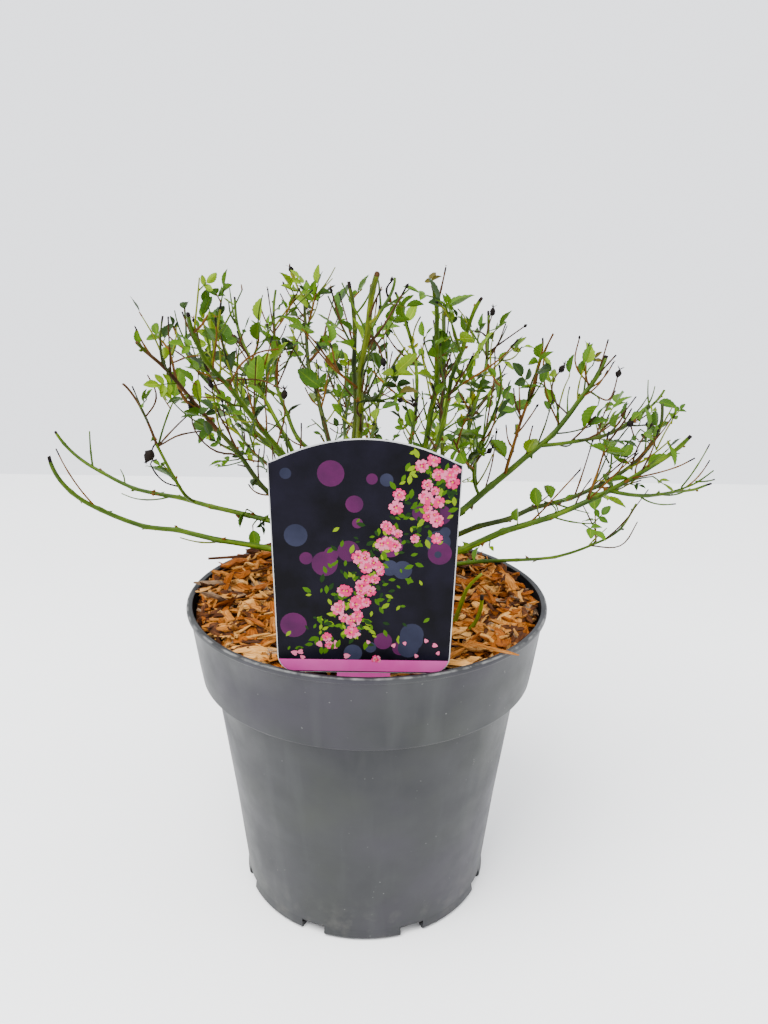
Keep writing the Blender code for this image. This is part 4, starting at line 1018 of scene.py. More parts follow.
class Cane(NamedTuple):
    """One cane, from its foot to its tip.

    parent is "crown" or the cane that it forks from. at is the foot's azimuth on the crown,
    or the share of the parent's length where it forks. leaves and arrives are the azimuth and
    elevation of its first and last stretch. tip is the tip's azimuth, its reach from the
    pot's axis and its height. thick is the diameter at foot and tip. bare is the share of the
    length that is a bare bough; at 0 the whole cane is the stem of its mass. vigour is how
    readily its buds grow, at 1 as the growth rule says.
    """

    name: str
    parent: str
    at: float
    leaves: tuple
    tip: tuple
    arrives: tuple
    thick: tuple
    bare: float
    vigour: float


CANES = [Cane(*row) for row in (
    ("low_left", "crown", 188, (182, 39), (187, 0.157, 0.245), (248, 78), (0.0036, 0.0020), 0.50, 0.2),
    ("long_left", "crown", 166, (165, 58), (167, 0.179, 0.244), (173, 60), (0.0035, 0.0017), 0.58, 0.3),
    ("upper_left", "crown", 203, (200, 47), (196, 0.110, 0.302), (248, 34), (0.0034, 0.0016), 0.56, 1.0),
    ("mid_left", "crown", 146, (145, 82), (159, 0.113, 0.302), (132, 54), (0.0037, 0.0016), 0.55, 1.0),
    ("front_left", "crown", 232, (232, 82), (213, 0.092, 0.317), (283, 38), (0.0037, 0.0020), 0.55, 1.1),
    ("centre_front", "crown", 268, (260, 50), (273, 0.080, 0.336), (282, 38), (0.0045, 0.0023), 0.56, 0.8),
    ("back_left", "crown", 112, (114, 68), (109, 0.127, 0.322), (82, 56), (0.0039, 0.0016), 0.50, 1.0),
    ("centre_back", "crown", 88, (90, 80), (79, 0.102, 0.285), (37, 46), (0.0036, 0.0015), 0.50, 1.0),
    ("back_right", "crown", 52, (51, 20), (53, 0.112, 0.308), (96, 60), (0.0036, 0.0016), 0.50, 1.0),
    ("right_high", "crown", 8, (7, 51), (14, 0.128, 0.291), (29, 65), (0.0044, 0.0023), 0.56, 0.8),
    ("main_right", "crown", 340, (345, 36), (349, 0.155, 0.262), (327, 52), (0.0043, 0.0020), 0.62, 1.0),
    ("twin_right", "crown", 22, (21, 42), (11, 0.159, 0.266), (98, 71), (0.0036, 0.0017), 0.52, 1.0),
    ("low_right", "crown", 37, (39, 6), (25, 0.178, 0.196), (51, 48), (0.0028, 0.0012), 0.48, 0.3),
    ("upright_right", "crown", 304, (305, 50), (299, 0.057, 0.330), (255, 38), (0.0038, 0.0019), 0.58, 0.9),
    ("back_low_left", "crown", 132, (133, 46), (128, 0.150, 0.236), (118, 22), (0.0034, 0.0015), 0.48, 0.9),
    ("back_low", "crown", 72, (73, 48), (72, 0.158, 0.244), (82, 26), (0.0034, 0.0015), 0.48, 1.0),
    ("back_middle", "back_left", 0.26, (92, 38), (97, 0.156, 0.266), (94, 58), (0.0027, 0.0014), 0.42, 1.0),
    ("inner_left", "mid_left", 0.34, (174, 67), (146, 0.089, 0.317), (102, 68), (0.0026, 0.0014), 0.42, 1.0),
    ("back_left_inner", "back_left", 0.36, (188, 10), (121, 0.111, 0.318), (86, 57),
     (0.0026, 0.0014), 0.42, 1.0),
    ("centre", "centre_front", 0.36, (103, 33), (250, 0.027, 0.330), (151, 76), (0.0031, 0.0018), 0.46, 0.8),
    ("arched_right", "centre_back", 0.34, (0, 12), (78, 0.061, 0.320), (178, 62),
     (0.0026, 0.0016), 0.46, 1.0),
    ("dark_upright", "back_right", 0.38, (106, 78), (60, 0.081, 0.311), (91, 58),
     (0.0028, 0.0018), 0.46, 0.5),
    ("front_right", "upright_right", 0.36, (340, 62), (308, 0.077, 0.326), (296, 46),
     (0.0027, 0.0016), 0.46, 1.0),
    ("left_fork", "long_left", 0.52, (249, 23), (178, 0.124, 0.277), (218, 48), (0.0020, 0.0012), 0.0, 0.25),
    ("upper_left_fork", "upper_left", 0.70, (161, 9), (175, 0.106, 0.299), (169, 36),
     (0.0018, 0.0011), 0.0, 1.0),
    ("centre_fork", "centre_front", 0.78, (37, 60), (284, 0.047, 0.333), (65, 80),
     (0.0019, 0.0012), 0.0, 1.0),
    ("right_high_fork", "right_high", 0.64, (357, 5), (17, 0.170, 0.270), (23, 51),
     (0.0022, 0.0013), 0.0, 1.0),
    ("right_upright", "right_high", 0.50, (275, 70), (7, 0.087, 0.302), (236, 84),
     (0.0019, 0.0011), 0.0, 1.0),
    ("right_inner_fork", "right_high", 0.40, (215, 54), (334, 0.067, 0.294), (230, 65),
     (0.0018, 0.0011), 0.0, 1.0),
    ("main_right_fork", "main_right", 0.72, (300, 4), (3, 0.180, 0.228), (6, 17),
     (0.0021, 0.0013), 0.0, 0.35),
)]
print("canes:", len(CANES))

# %% Cane curves
class Curve:
    """A cane's axis: a cubic from foot to tip whose end slopes are its two headings."""

    def __init__(self, foot, tip, leaves, arrives, thick):
        chord = np.linalg.norm(tip - foot)
        self.foot, self.tip = foot, tip
        self.first, self.last = heading(*leaves) * chord, heading(*arrives) * chord
        self.radii = (thick[0] / 2, thick[1] / 2)
        self.length = run_along(self.points(0, 1, 60))[-1]

    def at(self, share):
        """Points at the given shares of the curve, by the cubic Hermite rule."""
        t = np.atleast_1d(share)[:, None]
        rise, fall = t * t * (3 - 2 * t), t * (1 - t) ** 2
        return self.foot * (1 - rise) + self.tip * rise + self.first * fall - self.last * t * t * (1 - t)

    def points(self, start, end, count):
        """Evenly shared points from one share of the curve to another."""
        return self.at(np.linspace(start, end, count))

    def radius(self, share):
        """Radius at a share of the length: it tapers evenly."""
        return self.radii[0] + (self.radii[1] - self.radii[0]) * np.asarray(share)


def segment_distance(a, b, starts, ends):
    """Shortest distance from the segment a-b to each segment starts-ends."""
    u, v, w = b - a, ends - starts, a - starts
    uu, vv = u @ u + 1e-18, np.einsum("ij,ij->i", v, v) + 1e-18
    uv, uw, vw = v @ u, w @ u, np.einsum("ij,ij->i", v, w)
    det = uu * vv - uv * uv
    s = np.clip(np.where(det > 1e-16, (uv * vw - vv * uw) / np.maximum(det, 1e-16), 0), 0, 1)
    t = np.clip((uv * s + vw) / vv, 0, 1)
    s = np.clip((uv * t - uw) / uu, 0, 1)
    return np.linalg.norm(w + s[:, None] * u - t[:, None] * v, axis=1)


class Space:
    """Everything placed so far, as round-ended rods. All rods of one piece carry its tag."""

    def __init__(self):
        self.a, self.b = np.empty((0, 3)), np.empty((0, 3))
        self.radius, self.tag = np.empty(0), np.empty(0, int)
        self.tags = 0

    def add(self, rods):
        """Add rods (start, end, radius) of one piece and give the piece's tag."""
        self.tags += 1
        self.a = np.vstack([self.a, [rod[0] for rod in rods]])
        self.b = np.vstack([self.b, [rod[1] for rod in rods]])
        self.radius = np.append(self.radius, [rod[2] for rod in rods])
        self.tag = np.append(self.tag, np.full(len(rods), self.tags))
        return self.tags

    def is_free(self, rods, beside, clearance=CLEARANCE):
        """Whether rods keep clear of all pieces but those with the tags in beside."""
        middle = np.mean([(rod[0] + rod[1]) / 2 for rod in rods], axis=0)
        half = np.linalg.norm(self.b - self.a, axis=1) / 2
        near = np.linalg.norm((self.a + self.b) / 2 - middle, axis=1) < half + NEARBY
        pick = near & ~np.isin(self.tag, list(beside))
        if not pick.any():
            return True
        for start, end, radius in rods:
            room = segment_distance(start, end, self.a[pick], self.b[pick]) - self.radius[pick] - radius
            if (room < clearance).any():
                return False
        return True


def rods_along(points, radii):
    """Rods between following points, each with the wider of its two end radii."""
    return [(points[i], points[i + 1], max(radii[i], radii[i + 1])) for i in range(len(points) - 1)]


def cane_curves():
    """Curve of each cane by name."""
    curves = {}
    for cane in CANES:
        if cane.parent == "crown":
            foot = polar(cane.at, FOOT_RADIUS, FOOT_HEIGHT)
        else:
            foot = curves[cane.parent].at(cane.at)[0]
        curves[cane.name] = Curve(foot, polar(*cane.tip), cane.leaves, cane.arrives, cane.thick)
    return curves


def ring_points(centre, tangent, radius, sides):
    """Corners of a regular ring of the given radius, square to the tangent."""
    across = unit(np.cross(tangent, (0.0, 0.0, 1.0) if abs(tangent[2]) < 0.9 else (1.0, 0.0, 0.0)))
    other = np.cross(tangent, across)
    turn = circle_steps(sides)
    return centre + radius * (np.outer(np.cos(turn), across) + np.outer(np.sin(turn), other))


def start_share(cane, curves):
    """Share of a cane where its own solid starts, clear of the crown's stubs or of its parent."""
    curve = curves[cane.name]
    shares = np.linspace(0, 0.45, 181)
    axis = curve.at(shares)
    if cane.parent == "crown":
        rivals = [other.name for other in CANES if other.parent == "crown" and other != cane]
        room, last_blocked = STUB_ROOM, int(np.searchsorted(shares, STUB_SHARE))
    else:
        rivals, room, last_blocked = [cane.parent], GAP, 0
    headings = directions(axis)
    line = np.linspace(0, 1, 161)
    for rival in rivals:
        points, radii = curves[rival].at(line), curves[rival].radius(line)
        for index in range(last_blocked + 1, len(shares)):
            rim = ring_points(axis[index], headings[index], curve.radius(shares[index]), BOUGH_SIDES)
            apart = min((segment_distance(corner, corner + 1e-6, points[:-1], points[1:]) - radii[:-1]).min()
                        for corner in rim)
            if apart < room:
                last_blocked = index
            elif index > last_blocked + 24:
                break
    return float(shares[min(last_blocked + 1, len(shares) - 1)])


curves = cane_curves()
starts = {cane.name: start_share(cane, curves) for cane in CANES}
print("longest cane:", round(max(curve.length for curve in curves.values()) * 1000), "mm")

# %% [markdown]
# ## Growth rule
# Twigs leave a stem at buds that stand two fifths of a turn apart. A seeded rule decides at each
# bud whether a twig or a leaf grows, and skips what would leave the crown's outline or touch a
# limb. It is the rule that grew the solids, with the same seeds, so every twig and leaf has its
# solid. The finer growth further down starts from these twigs.

# %% Growth sizes
SEED = 43
LABEL_ROOM = 0.0022     # half thickness of the space that twigs leave to the label
STEM_STEP = 0.0150
BUD_TURN = 144.0        # buds stand two fifths of a turn apart, as on any rose,
BUD_JITTER = 14         # give or take this
NODE_SPACING = 0.0112
FIRST_NODE = 0.005      # the first bud of a stem
LAST_ROOM = 0.002       # the last bud keeps this far from the end
TWIG_SHARE = 0.60       # share of a stem's buds that grow into twigs
TWIG_LENGTH = (0.015, 0.036)
TWIG_DIAMETER = (0.0013, 0.0008)
TWIG_NODE = 0.0105
TWIG_LOSS = (1.1, 0.45) # size of a twig at the stem's foot, and what it loses by its tip
TWIG_SPLAY = (38, 58)   # angle between twig and stem
TWIG_LIFT = (0.3, 0.9)  # how strongly a twig turns upwards
LEAF_LENGTH = (0.0110, 0.0180)
LEAF_WIDTH_RATIO = 0.60
LEAF_THICKNESS = 0.0006
LEAF_SHARE = 0.82
LEAF_SPLAY = (45, 70)
LEAF_ROLL = 55
TIP_SINK = 0.0007       # how far a leaf at a tip is sunk in it
HIP_SHARE = 0.16        # share of twigs that end in a dried flower head
HIP_DIAMETER = 0.0042
SPREAD = 0.034          # a mass keeps this close to its stem
TIP_MARGIN = 0.004
CROWN_REACH = 0.178
CROWN_HEIGHT = 0.3385
LOWEST_TWIG = 0.1740
print("growth sizes set")

# %% Growth of one mass
class Twig(NamedTuple):
    """A twig: its axis points and the radius at each."""

    points: np.ndarray
    radii: np.ndarray


class Leaf(NamedTuple):
    """A leaf: its root, direction, face normal, length and width."""

    root: np.ndarray
    along: np.ndarray
    face: np.ndarray
    length: float
    width: float


def off_axis(tangent, turn, splay):
    """Direction that leans from the tangent by splay degrees, at a turn about it in degrees."""
    across = unit(np.cross(tangent, (0.0, 0.0, 1.0) if abs(tangent[2]) < 0.95 else (1.0, 0.0, 0.0)))
    other = np.cross(tangent, across)
    a, s = math.radians(turn), math.radians(splay)
    return math.cos(s) * tangent + math.sin(s) * (math.cos(a) * across + math.sin(a) * other)


def twig_path(root, direction, length, lift, count=3):
    """Points of a twig that sets off in a direction and turns upwards by its lift."""
    steps = np.linspace(0, 1, count)
    headings = [unit(direction + lift * u * np.array([0.0, 0.0, 1.0])) for u in (steps[:-1] + steps[1:]) / 2]
    return np.vstack([root, root + np.cumsum(np.array(headings) * length / (count - 1), axis=0)])


def upward_face(along, roll):
    """The normal nearest to straight up that is square to a direction, rolled about it in radians."""
    face = unit(np.array([0.0, 0.0, 1.0]) - along * along[2])
    return math.cos(roll) * face + math.sin(roll) * np.cross(face, along)


def leaf_rods(leaf):
    """Rods that hold a leaf's blade: its midrib and its two edges."""
    side = np.cross(leaf.face, leaf.along)
    middle = (leaf.root + leaf.along * leaf.length * 0.25, leaf.root + leaf.along * leaf.length)
    rods = [(middle[0], middle[1], LEAF_THICKNESS)]
    for sign in (-1, 1):
        edge = leaf.root + side * sign * leaf.width * 0.34
        rods.append((edge + leaf.along * leaf.length * 0.38,
                     edge + leaf.along * leaf.length * 0.62, leaf.width * 0.14))
    return rods


class Mass:
    """Twigs, leaves and dried heads that one stem grows, kept to the stem's own space."""

    def __init__(self, cane, curve, start, space, index):
        self.cane, self.name = cane, cane.name + "_foliage"
        self.rng = random.Random(SEED * 1000 + index)
        self.space = space
        count = max(4, int(round(curve.length * (1 - start) / STEM_STEP)))
        shares = np.linspace(start, 1, count)
        self.stem = Twig(curve.at(shares), curve.radius(shares))
        self.twigs, self.leaves, self.heads = [], [], []
        self.tip_heading = unit(curve.last)
        self.reach = min(CROWN_REACH, np.linalg.norm(self.stem.points[:, :2], axis=1).max() + TIP_MARGIN)
        self.vigour = cane.vigour
        self.stem_tag = space.add(rods_along(self.stem.points, self.stem.radii))

    def within(self, point):
        """Whether a point lies in the mass's own space and in the crown's outline."""
        from_stem = segment_distance(point, point + 1e-6, self.stem.points[:-1], self.stem.points[1:]).min()
        ahead = (point - self.stem.points[-1]) @ self.tip_heading
        return (from_stem < SPREAD and ahead < TIP_MARGIN and math.hypot(point[0], point[1]) < self.reach
                and LOWEST_TWIG < point[2] < CROWN_HEIGHT)

    def nodes(self, points, spacing, first):
        """Bud places along a line of points: position, tangent and share of the line."""
        run, headings = run_along(points), directions(points)
        for place in np.arange(first, run[-1] - LAST_ROOM, spacing):
            yield between(place, run, points), unit(between(place, run, headings)), place / run[-1]

    def grow(self):
        """Grow the twigs from the stem's buds, and the leaves on stem and twigs."""
        rng = self.rng
        turn = rng.uniform(0, 360)
        for root, tangent, share in self.nodes(self.stem.points, NODE_SPACING, FIRST_NODE):
            turn += BUD_TURN + rng.uniform(-BUD_JITTER, BUD_JITTER)
            if rng.random() < TWIG_SHARE * self.vigour:
                self.grow_twig(root, tangent, turn, share)
            elif rng.random() < LEAF_SHARE * self.vigour:
                self.grow_leaf(root, off_axis(tangent, turn, rng.uniform(*LEAF_SPLAY)), (self.stem_tag,))
        if rng.random() < self.vigour:
            self.grow_leaf(self.stem.points[-1] - tangent * TIP_SINK,
                           off_axis(tangent, turn, LEAF_SPLAY[0] / 2), (self.stem_tag,))

    def grow_twig(self, root, tangent, turn, share):
        """Grow one twig, leaves along it and a dried head or a leaf at its end."""
        rng = self.rng
        length = rng.uniform(*TWIG_LENGTH) * (TWIG_LOSS[0] - TWIG_LOSS[1] * share)
        path = twig_path(root, off_axis(tangent, turn, rng.uniform(*TWIG_SPLAY)), length,
                         rng.uniform(*TWIG_LIFT))
        radii = np.linspace(*TWIG_DIAMETER, len(path)) / 2
        rods = rods_along(path, radii)
        if not (all(self.within(point) for point in path[1:]) and self.space.is_free(rods, (self.stem_tag,))):
            return
        tag = self.space.add(rods)
        self.twigs.append(Twig(path, radii))
        for spot, direction, _ in self.nodes(path, TWIG_NODE, TWIG_NODE):
            turn += BUD_TURN
            if rng.random() < LEAF_SHARE * self.vigour:
                self.grow_leaf(spot, off_axis(direction, turn, rng.uniform(*LEAF_SPLAY)),
                               (tag, self.stem_tag))
        end_heading = directions(path)[-1]
        if rng.random() < HIP_SHARE:
            self.grow_head(path[-1], end_heading, tag)
        elif rng.random() < self.vigour:
            self.grow_leaf(path[-1] - end_heading * TIP_SINK, end_heading, (tag,))

    def grow_leaf(self, root, direction, beside):
        """Grow one leaf whose face turns up, unless it would leave the space or touch something."""
        length = self.rng.uniform(*LEAF_LENGTH)
        face = upward_face(direction, math.radians(self.rng.uniform(-LEAF_ROLL, LEAF_ROLL)))
        leaf = Leaf(root, direction, face, length, length * LEAF_WIDTH_RATIO)
        rods = leaf_rods(leaf)
        if (all(self.within(rod[1]) for rod in rods) and self.space.is_free(rods, beside)
                and self.space.is_free(rods[1:], (), GAP)):
            self.space.add(rods)
            self.leaves.append(leaf)

    def grow_head(self, root, direction, tag):
        """Grow a dried flower head on a twig's end."""
        end = root + direction * HIP_DIAMETER
        rods = [(root, end, HIP_DIAMETER / 2)]
        if self.within(end) and self.space.is_free(rods, (tag,)):
            self.space.add(rods)
            self.heads.append((root, direction))


def claim_fixed_pieces(space):
    """Place the rim and the label, so that no twig touches them."""
    ring = [polar(a, LIP_RADIUS - LIP_ROUNDING, POT_HEIGHT - LIP_ROUNDING) for a in np.linspace(0, 360, 49)]
    space.add(rods_along(ring, [WALL] * len(ring)))
    for across in np.linspace(-1, 1, 21):
        x, top = across * LABEL_SHOULDER_WIDTH / 2, LABEL_TOP - (LABEL_TOP - LABEL_SHOULDER) * across**2
        space.add([(np.array([x, LABEL_Y, LABEL_FOOT]), np.array([x, LABEL_Y, top]), LABEL_ROOM)])


# %% Grow the masses
def grow_masses():
    """Grow every mass in the order of the cane rows, with all boughs and stems placed first."""
    space = Space()
    claim_fixed_pieces(space)
    masses = []
    for index, cane in enumerate(CANES):
        curve = curves[cane.name]
        if cane.bare:
            shares = np.linspace(0.0 if cane.parent == "crown" else starts[cane.name], cane.bare, 24)
            space.add(rods_along(curve.at(shares), curve.radius(shares)))
        masses.append(Mass(cane, curve, cane.bare or starts[cane.name] + GAP / curve.length, space, index))
    for mass in masses:
        mass.grow()
    return masses


masses = grow_masses()
print("masses:", len(masses), "twigs:", sum(len(mass.twigs) for mass in masses),
      "leaves:", sum(len(mass.leaves) for mass in masses), "heads:", sum(len(mass.heads) for mass in masses))

# %% [markdown]
# ## Bark
# Rose bark is smooth and green with fine pale streaks, darker or browner on old wood, and black
# where a pruned tip has dried back. Each cane is a tube along its curve with a swelling and a
# slight kink at every bud, which is what makes a rose cane look like one. The tone changes ring
# by ring through material slots: olive at the foot, green along the cane and black at a dry tip.

# %% Bark tones
BARK = {
    # name: dark streaks, body, light streaks, roughness
    "cane_fresh": ((54, 74, 20), (90, 112, 34), (142, 162, 88), 0.50),
    "cane_deep": ((32, 42, 12), (66, 78, 24), (106, 116, 52), 0.50),
    "cane_pale": ((104, 114, 34), (142, 150, 58), (192, 196, 116), 0.52),
    "cane_olive": ((74, 88, 22), (112, 124, 38), (158, 168, 84), 0.52),
    "cane_brown": ((66, 42, 22), (118, 84, 46), (162, 128, 80), 0.70),
    "stalk_dry": ((44, 30, 22), (86, 62, 42), (128, 100, 74), 0.78),
    "cane_foot": ((56, 50, 28), (90, 84, 46), (126, 116, 74), 0.72),
    "cane_black": ((12, 10, 8), (26, 20, 16), (56, 44, 34), 0.80),
    "old_wood": ((50, 38, 24), (92, 74, 50), (140, 118, 86), 0.85),
}
TONE = {name: number for number, name in enumerate(BARK)}
CANE_TONE = {
    # the other canes are cane_fresh
    "upper_left": "cane_deep", "centre": "cane_deep", "dark_upright": "cane_deep", "centre_back": "cane_deep",
    "back_left": "cane_deep", "twin_right": "cane_deep", "centre_front": "cane_olive",
    "upper_left_fork": "cane_brown", "right_upright": "cane_brown",
}
DRY_STRETCHES = {"left_fork": (0.54, 1.0), "upper_left": (0.62, 0.95)}   # shares of a cane that are dead wood
NO_STRETCH = (1.0, 1.0)
BARK_FOOT = (0.006, 0.030)            # length of the grey foot of a cane that leaves the crown
DRY_TIPS = (0.0, 0.0016, 0.0035)      # length of a cane's black tip
DRY_TIP_SHARES = (0.35, 0.4, 0.25)


def cane_finish(name, dark, body, light, roughness):
    """Streaks that run along the cane, soft patches and small pale pores."""
    finish = Finish(name, roughness, 0.12, deepen=0.34, boost=1.45)
    streaks = finish.noise(1.0, 4, finish.along_uv(5.0, 55.0), distortion=0.2)
    grain = finish.blend(streaks, 0.55, finish.noise(70, 3))
    colour = finish.tones(grain, (0.36, dark), (0.50, body), (0.66, light))
    pores = finish.steps(finish.noise(1100, 1), 0.70, 0.76, 0, 0.5)
    finish.link(finish.stain(colour, pores, light), "Base Color")
    finish.relief(streaks, 0.00025)
    finish.relief(finish.noise(1400, 2), 0.00006, 0.7)
    return finish.material


bark_tones = [cane_finish(name, *tones) for name, tones in BARK.items()]
print("bark tones:", list(BARK))

# %% Cane surfaces
RING_STEP = 0.0015
BUD_SPACING = (0.013, 0.027)
KINK = 0.0010
SWELLING = 0.17
SWELLING_LENGTH = 0.0014
LIMB_SIDES = 10
BUD_END = 0.004         # the last bud keeps this far from a cane's tip
FORK_BLEND = 0.04       # a fork follows its parent's kinks over this length


class Limb(NamedTuple):
    """A limb's smooth axis, its kinked one, its radius and the run along it, and its buds' places."""

    axis: np.ndarray
    points: np.ndarray
    radii: np.ndarray
    run: np.ndarray
    buds: np.ndarray
    turns: np.ndarray


def bud_kinks(run, buds, turns):
    """Sideways shift along a limb: it swings from bud to bud, each a bud turn on, and dies out at
    both ends. Returned as the amounts on side and top."""
    fade = np.sin(np.pi * np.clip(run / run[-1], 0, 1)) ** 0.5
    angle = np.radians(turns)
    return [np.interp(run, buds, wave(angle)) * fade * KINK for wave in (np.cos, np.sin)]


def carried(limb, points):
    """Points moved as the limb moves at its nearest place, so what grows on it stays on it."""
    points = np.atleast_2d(points)
    nearest = np.linalg.norm(points[:, None] - limb.axis, axis=2).argmin(1)
    return points + (limb.points - limb.axis)[nearest]


def make_limb(cane, rng, limbs):
    """A cane's limb: its curve every few millimetres, kinked at its buds. A fork starts where its
    parent's kinks have carried its foot."""
    curve = curves[cane.name]
    points = curve.points(0, 1, int(curve.length / RING_STEP))
    run = run_along(points)
    buds = np.cumsum(rng.uniform(*BUD_SPACING, int(curve.length / BUD_SPACING[0]) + 2))
    turns = rng.uniform(0, 360) + BUD_TURN * np.arange(len(buds))
    _, side, top = frames_along(points)
    aside, above = bud_kinks(run, buds, turns)
    kinked = points + side * aside[:, None] + top * above[:, None]
    if cane.parent != "crown":
        moved = carried(limbs[cane.parent], points[0]) - points[0]
        kinked += moved * np.clip(1 - run / FORK_BLEND, 0, 1)[:, None]
    keep = buds < run[-1] - BUD_END
    return Limb(points, kinked, curve.radius(run / run[-1]), run, buds[keep], turns[keep])


def limb_skin(pile, limb, tone, rng, foot, dry, dead):
    """Add a limb's tube: radius swells at each bud as a bell curve and is faintly ribbed. It is dead
    wood between two shares of its run."""
    swell = SWELLING * np.exp(-((limb.run[:, None] - limb.buds) / SWELLING_LENGTH) ** 2).sum(1)
    ribs = 0.035 * np.sin(3 * circle_steps(LIMB_SIDES) + rng.uniform(0, 6) + 30 * limb.run[:, None])
    radii = limb.radii[:, None] * (1 + swell[:, None] + ribs + rng.normal(0, 0.012, ribs.shape))
    share, at_tip = limb.run / limb.run[-1], limb.run > limb.run[-1] - dry
    slots = np.full(len(limb.run), TONE[tone])
    slots[limb.run < foot] = TONE["cane_foot"]
    slots[(share > dead[0]) & (share < dead[1])] = TONE["stalk_dry"]
    slots[at_tip] = TONE["cane_black"]
    slots[-1] = TONE["cane_black" if dry else "stalk_dry"]
    radii[at_tip] *= 0.9
    tube(pile, limb.points, radii, LIMB_SIDES, slots, slant=rng.uniform(-0.5, 0.5))


rng = np.random.default_rng(SEED)
limbs = {}
for cane in CANES:
    limbs[cane.name] = make_limb(cane, rng, limbs)
pile = Pile()
for cane in CANES:
    limb_skin(pile, limbs[cane.name], CANE_TONE.get(cane.name, "cane_fresh"), rng,
              foot=rng.uniform(*BARK_FOOT) if cane.parent == "crown" else 0.0,
              dry=rng.choice(DRY_TIPS, p=DRY_TIP_SHARES), dead=DRY_STRETCHES.get(cane.name, NO_STRETCH))
bough_nodes = [cane.name for cane in CANES if cane.bare]
mass_nodes = [mass.name for mass in masses]
dress(pile.build("canes", bark_tones), "cane_bark", *bough_nodes, *mass_nodes)

# %% Crown
CROWN_BOTTOM = GROUND + GAP
CROWN_TOP = 0.1840
CROWN_WAIST_RADIUS = 0.0110
CROWN_LEAN = (0.0012, 0.0008)
CROWN_PROFILE = ((0.0, 1.5), (0.17, 1.32), (0.375, 1.10), (0.58, 1.00), (0.85, 0.80), (0.97, 0.40),
                 (1.0, 0.04))
KNOBS, KNOB_SEED = 9, 5


def make_crown():
    """The knuckle: the solid's profile on a fine grid, pushed in and out by bark furrows that run
    upwards and by a few round knobs where old canes were cut."""
    rise, angle = np.linspace(0, 1, 44)[:, None], circle_steps(96)
    profile = np.interp(rise, *zip(*CROWN_PROFILE))
    furrows = 0.040 * np.sin(9 * angle + 3 * rise) + 0.030 * np.sin(17 * angle - 5 * rise) * np.cos(14 * rise)
    rng = np.random.default_rng(KNOB_SEED)
    knobs = sum(0.10 * np.exp(-((np.angle(np.exp(1j * (angle - a))) / 0.30) ** 2) - ((rise - h) / 0.14) ** 2)
                for a, h in zip(rng.uniform(0, 6.3, KNOBS), rng.uniform(0.25, 0.85, KNOBS)))
    radius = CROWN_WAIST_RADIUS * profile * (1 + (furrows + knobs) * np.clip(1.3 - rise, 0, 1) - 0.05)
    height = CROWN_BOTTOM + (CROWN_TOP - CROWN_BOTTOM) * rise
    points = stacked(radius * np.cos(angle) + CROWN_LEAN[0] * rise,
                     radius * np.sin(angle) + CROWN_LEAN[1] * rise, height)
    uvs = stacked(angle / (2 * math.pi) * 6, rise * 0.03).reshape(-1, 2)
    pile = Pile()
    closed_skin(pile, points, [(0, 0, CROWN_BOTTOM), (*CROWN_LEAN, CROWN_TOP)], TONE["old_wood"],
                np.vstack([uvs, [(0, 0), (0, 0.03)]]))
    dress(pile.build("crown_wood", bark_tones), "crown_bark", "crown")


make_crown()

# %% Prickles and buds
PRICKLE_HEIGHT = (0.0013, 0.0026)
PRICKLE_SPACING = 0.019
PRICKLE_START, PRICKLE_END = 0.018, 0.86   # a length from the foot and a share of the cane
PRICKLE_BROWN = 0.45                       # share of the prickles that are brown
BUD_LENGTH = (0.0012, 0.0024)


def aside_of(axes):
    """A direction square to each axis."""
    return unit(np.cross(axes, (0.31, 0.22, 0.92)))


def on_limb(limb, run, turn):
    """Places on a limb's skin at a run and a turn in degrees: point, tangent and outward direction."""
    along, side, top = frames_along(limb.points)
    spot, radius = between(run, limb.run, limb.points), np.interp(run, limb.run, limb.radii)
    pick = np.clip(np.searchsorted(limb.run, run), 0, len(limb.run) - 1)
    angle = np.radians(turn)[:, None]
    out = np.cos(angle) * side[pick] + np.sin(angle) * top[pick]
    return spot + out * radius[:, None] * 0.9, along[pick], out


def hooks(pile, base, along, out, heights, slot):
    """Prickles: five rings of six points that shrink to a tip and bend back towards the foot."""
    t = np.linspace(0, 1, 5)
    angle = circle_steps(6)
    across = np.cross(along, out)
    centre = (base[:, None] + out[:, None] * t[:, None] * heights[:, None, None]
              - along[:, None] * (t**2)[:, None] * 0.55 * heights[:, None, None])
    width = ((1 - t) ** 1.15 * 0.42 + 0.02)[None, :, None, None] * heights[:, None, None, None]
    ring = (np.cos(angle)[:, None] * along[:, None, None] * 1.5
            + np.sin(angle)[:, None] * across[:, None, None] * 0.7)
    shapes = (centre[:, :, None] + width * ring).reshape(len(base), -1, 3)
    caps = [(24, 25, 26, 27), (24, 27, 28, 29)]
    copies(pile, shapes, np.vstack([grid_faces(5, 6, wrap=True), caps]), slot)


def ovals(pile, root, axis, lengths, ratio, slot, rng, rows=6, rough=0.0):
    """Buds and hips: six-sided rings whose radius follows a sine from root to tip along an axis."""
    t, angle = np.linspace(0.04, 0.96, rows), circle_steps(6)
    aside = aside_of(axis)
    other = np.cross(axis, aside)
    radius = (np.sin(np.pi * t ** 0.8) * ratio / 2)[None, :, None] * lengths[:, None, None]
    radius = np.broadcast_to(radius, (len(root), rows, 6))
    if rough:
        radius = radius * (1 + rng.normal(0, rough, radius.shape))
    centre = root[:, None] + axis[:, None] * t[:, None] * lengths[:, None, None]
    shapes = (centre[:, :, None] + radius[..., None] * (np.cos(angle)[:, None] * aside[:, None, None]
                                                        + np.sin(angle)[:, None] * other[:, None, None]))
    last = (rows - 1) * 6
    caps = [(3, 2, 1, 0), (5, 4, 3, 0), (last, last + 1, last + 2, last + 3),
            (last, last + 3, last + 4, last + 5)]
    copies(pile, shapes.reshape(len(root), -1, 3), np.vstack([grid_faces(rows, 6, wrap=True), caps]), slot)


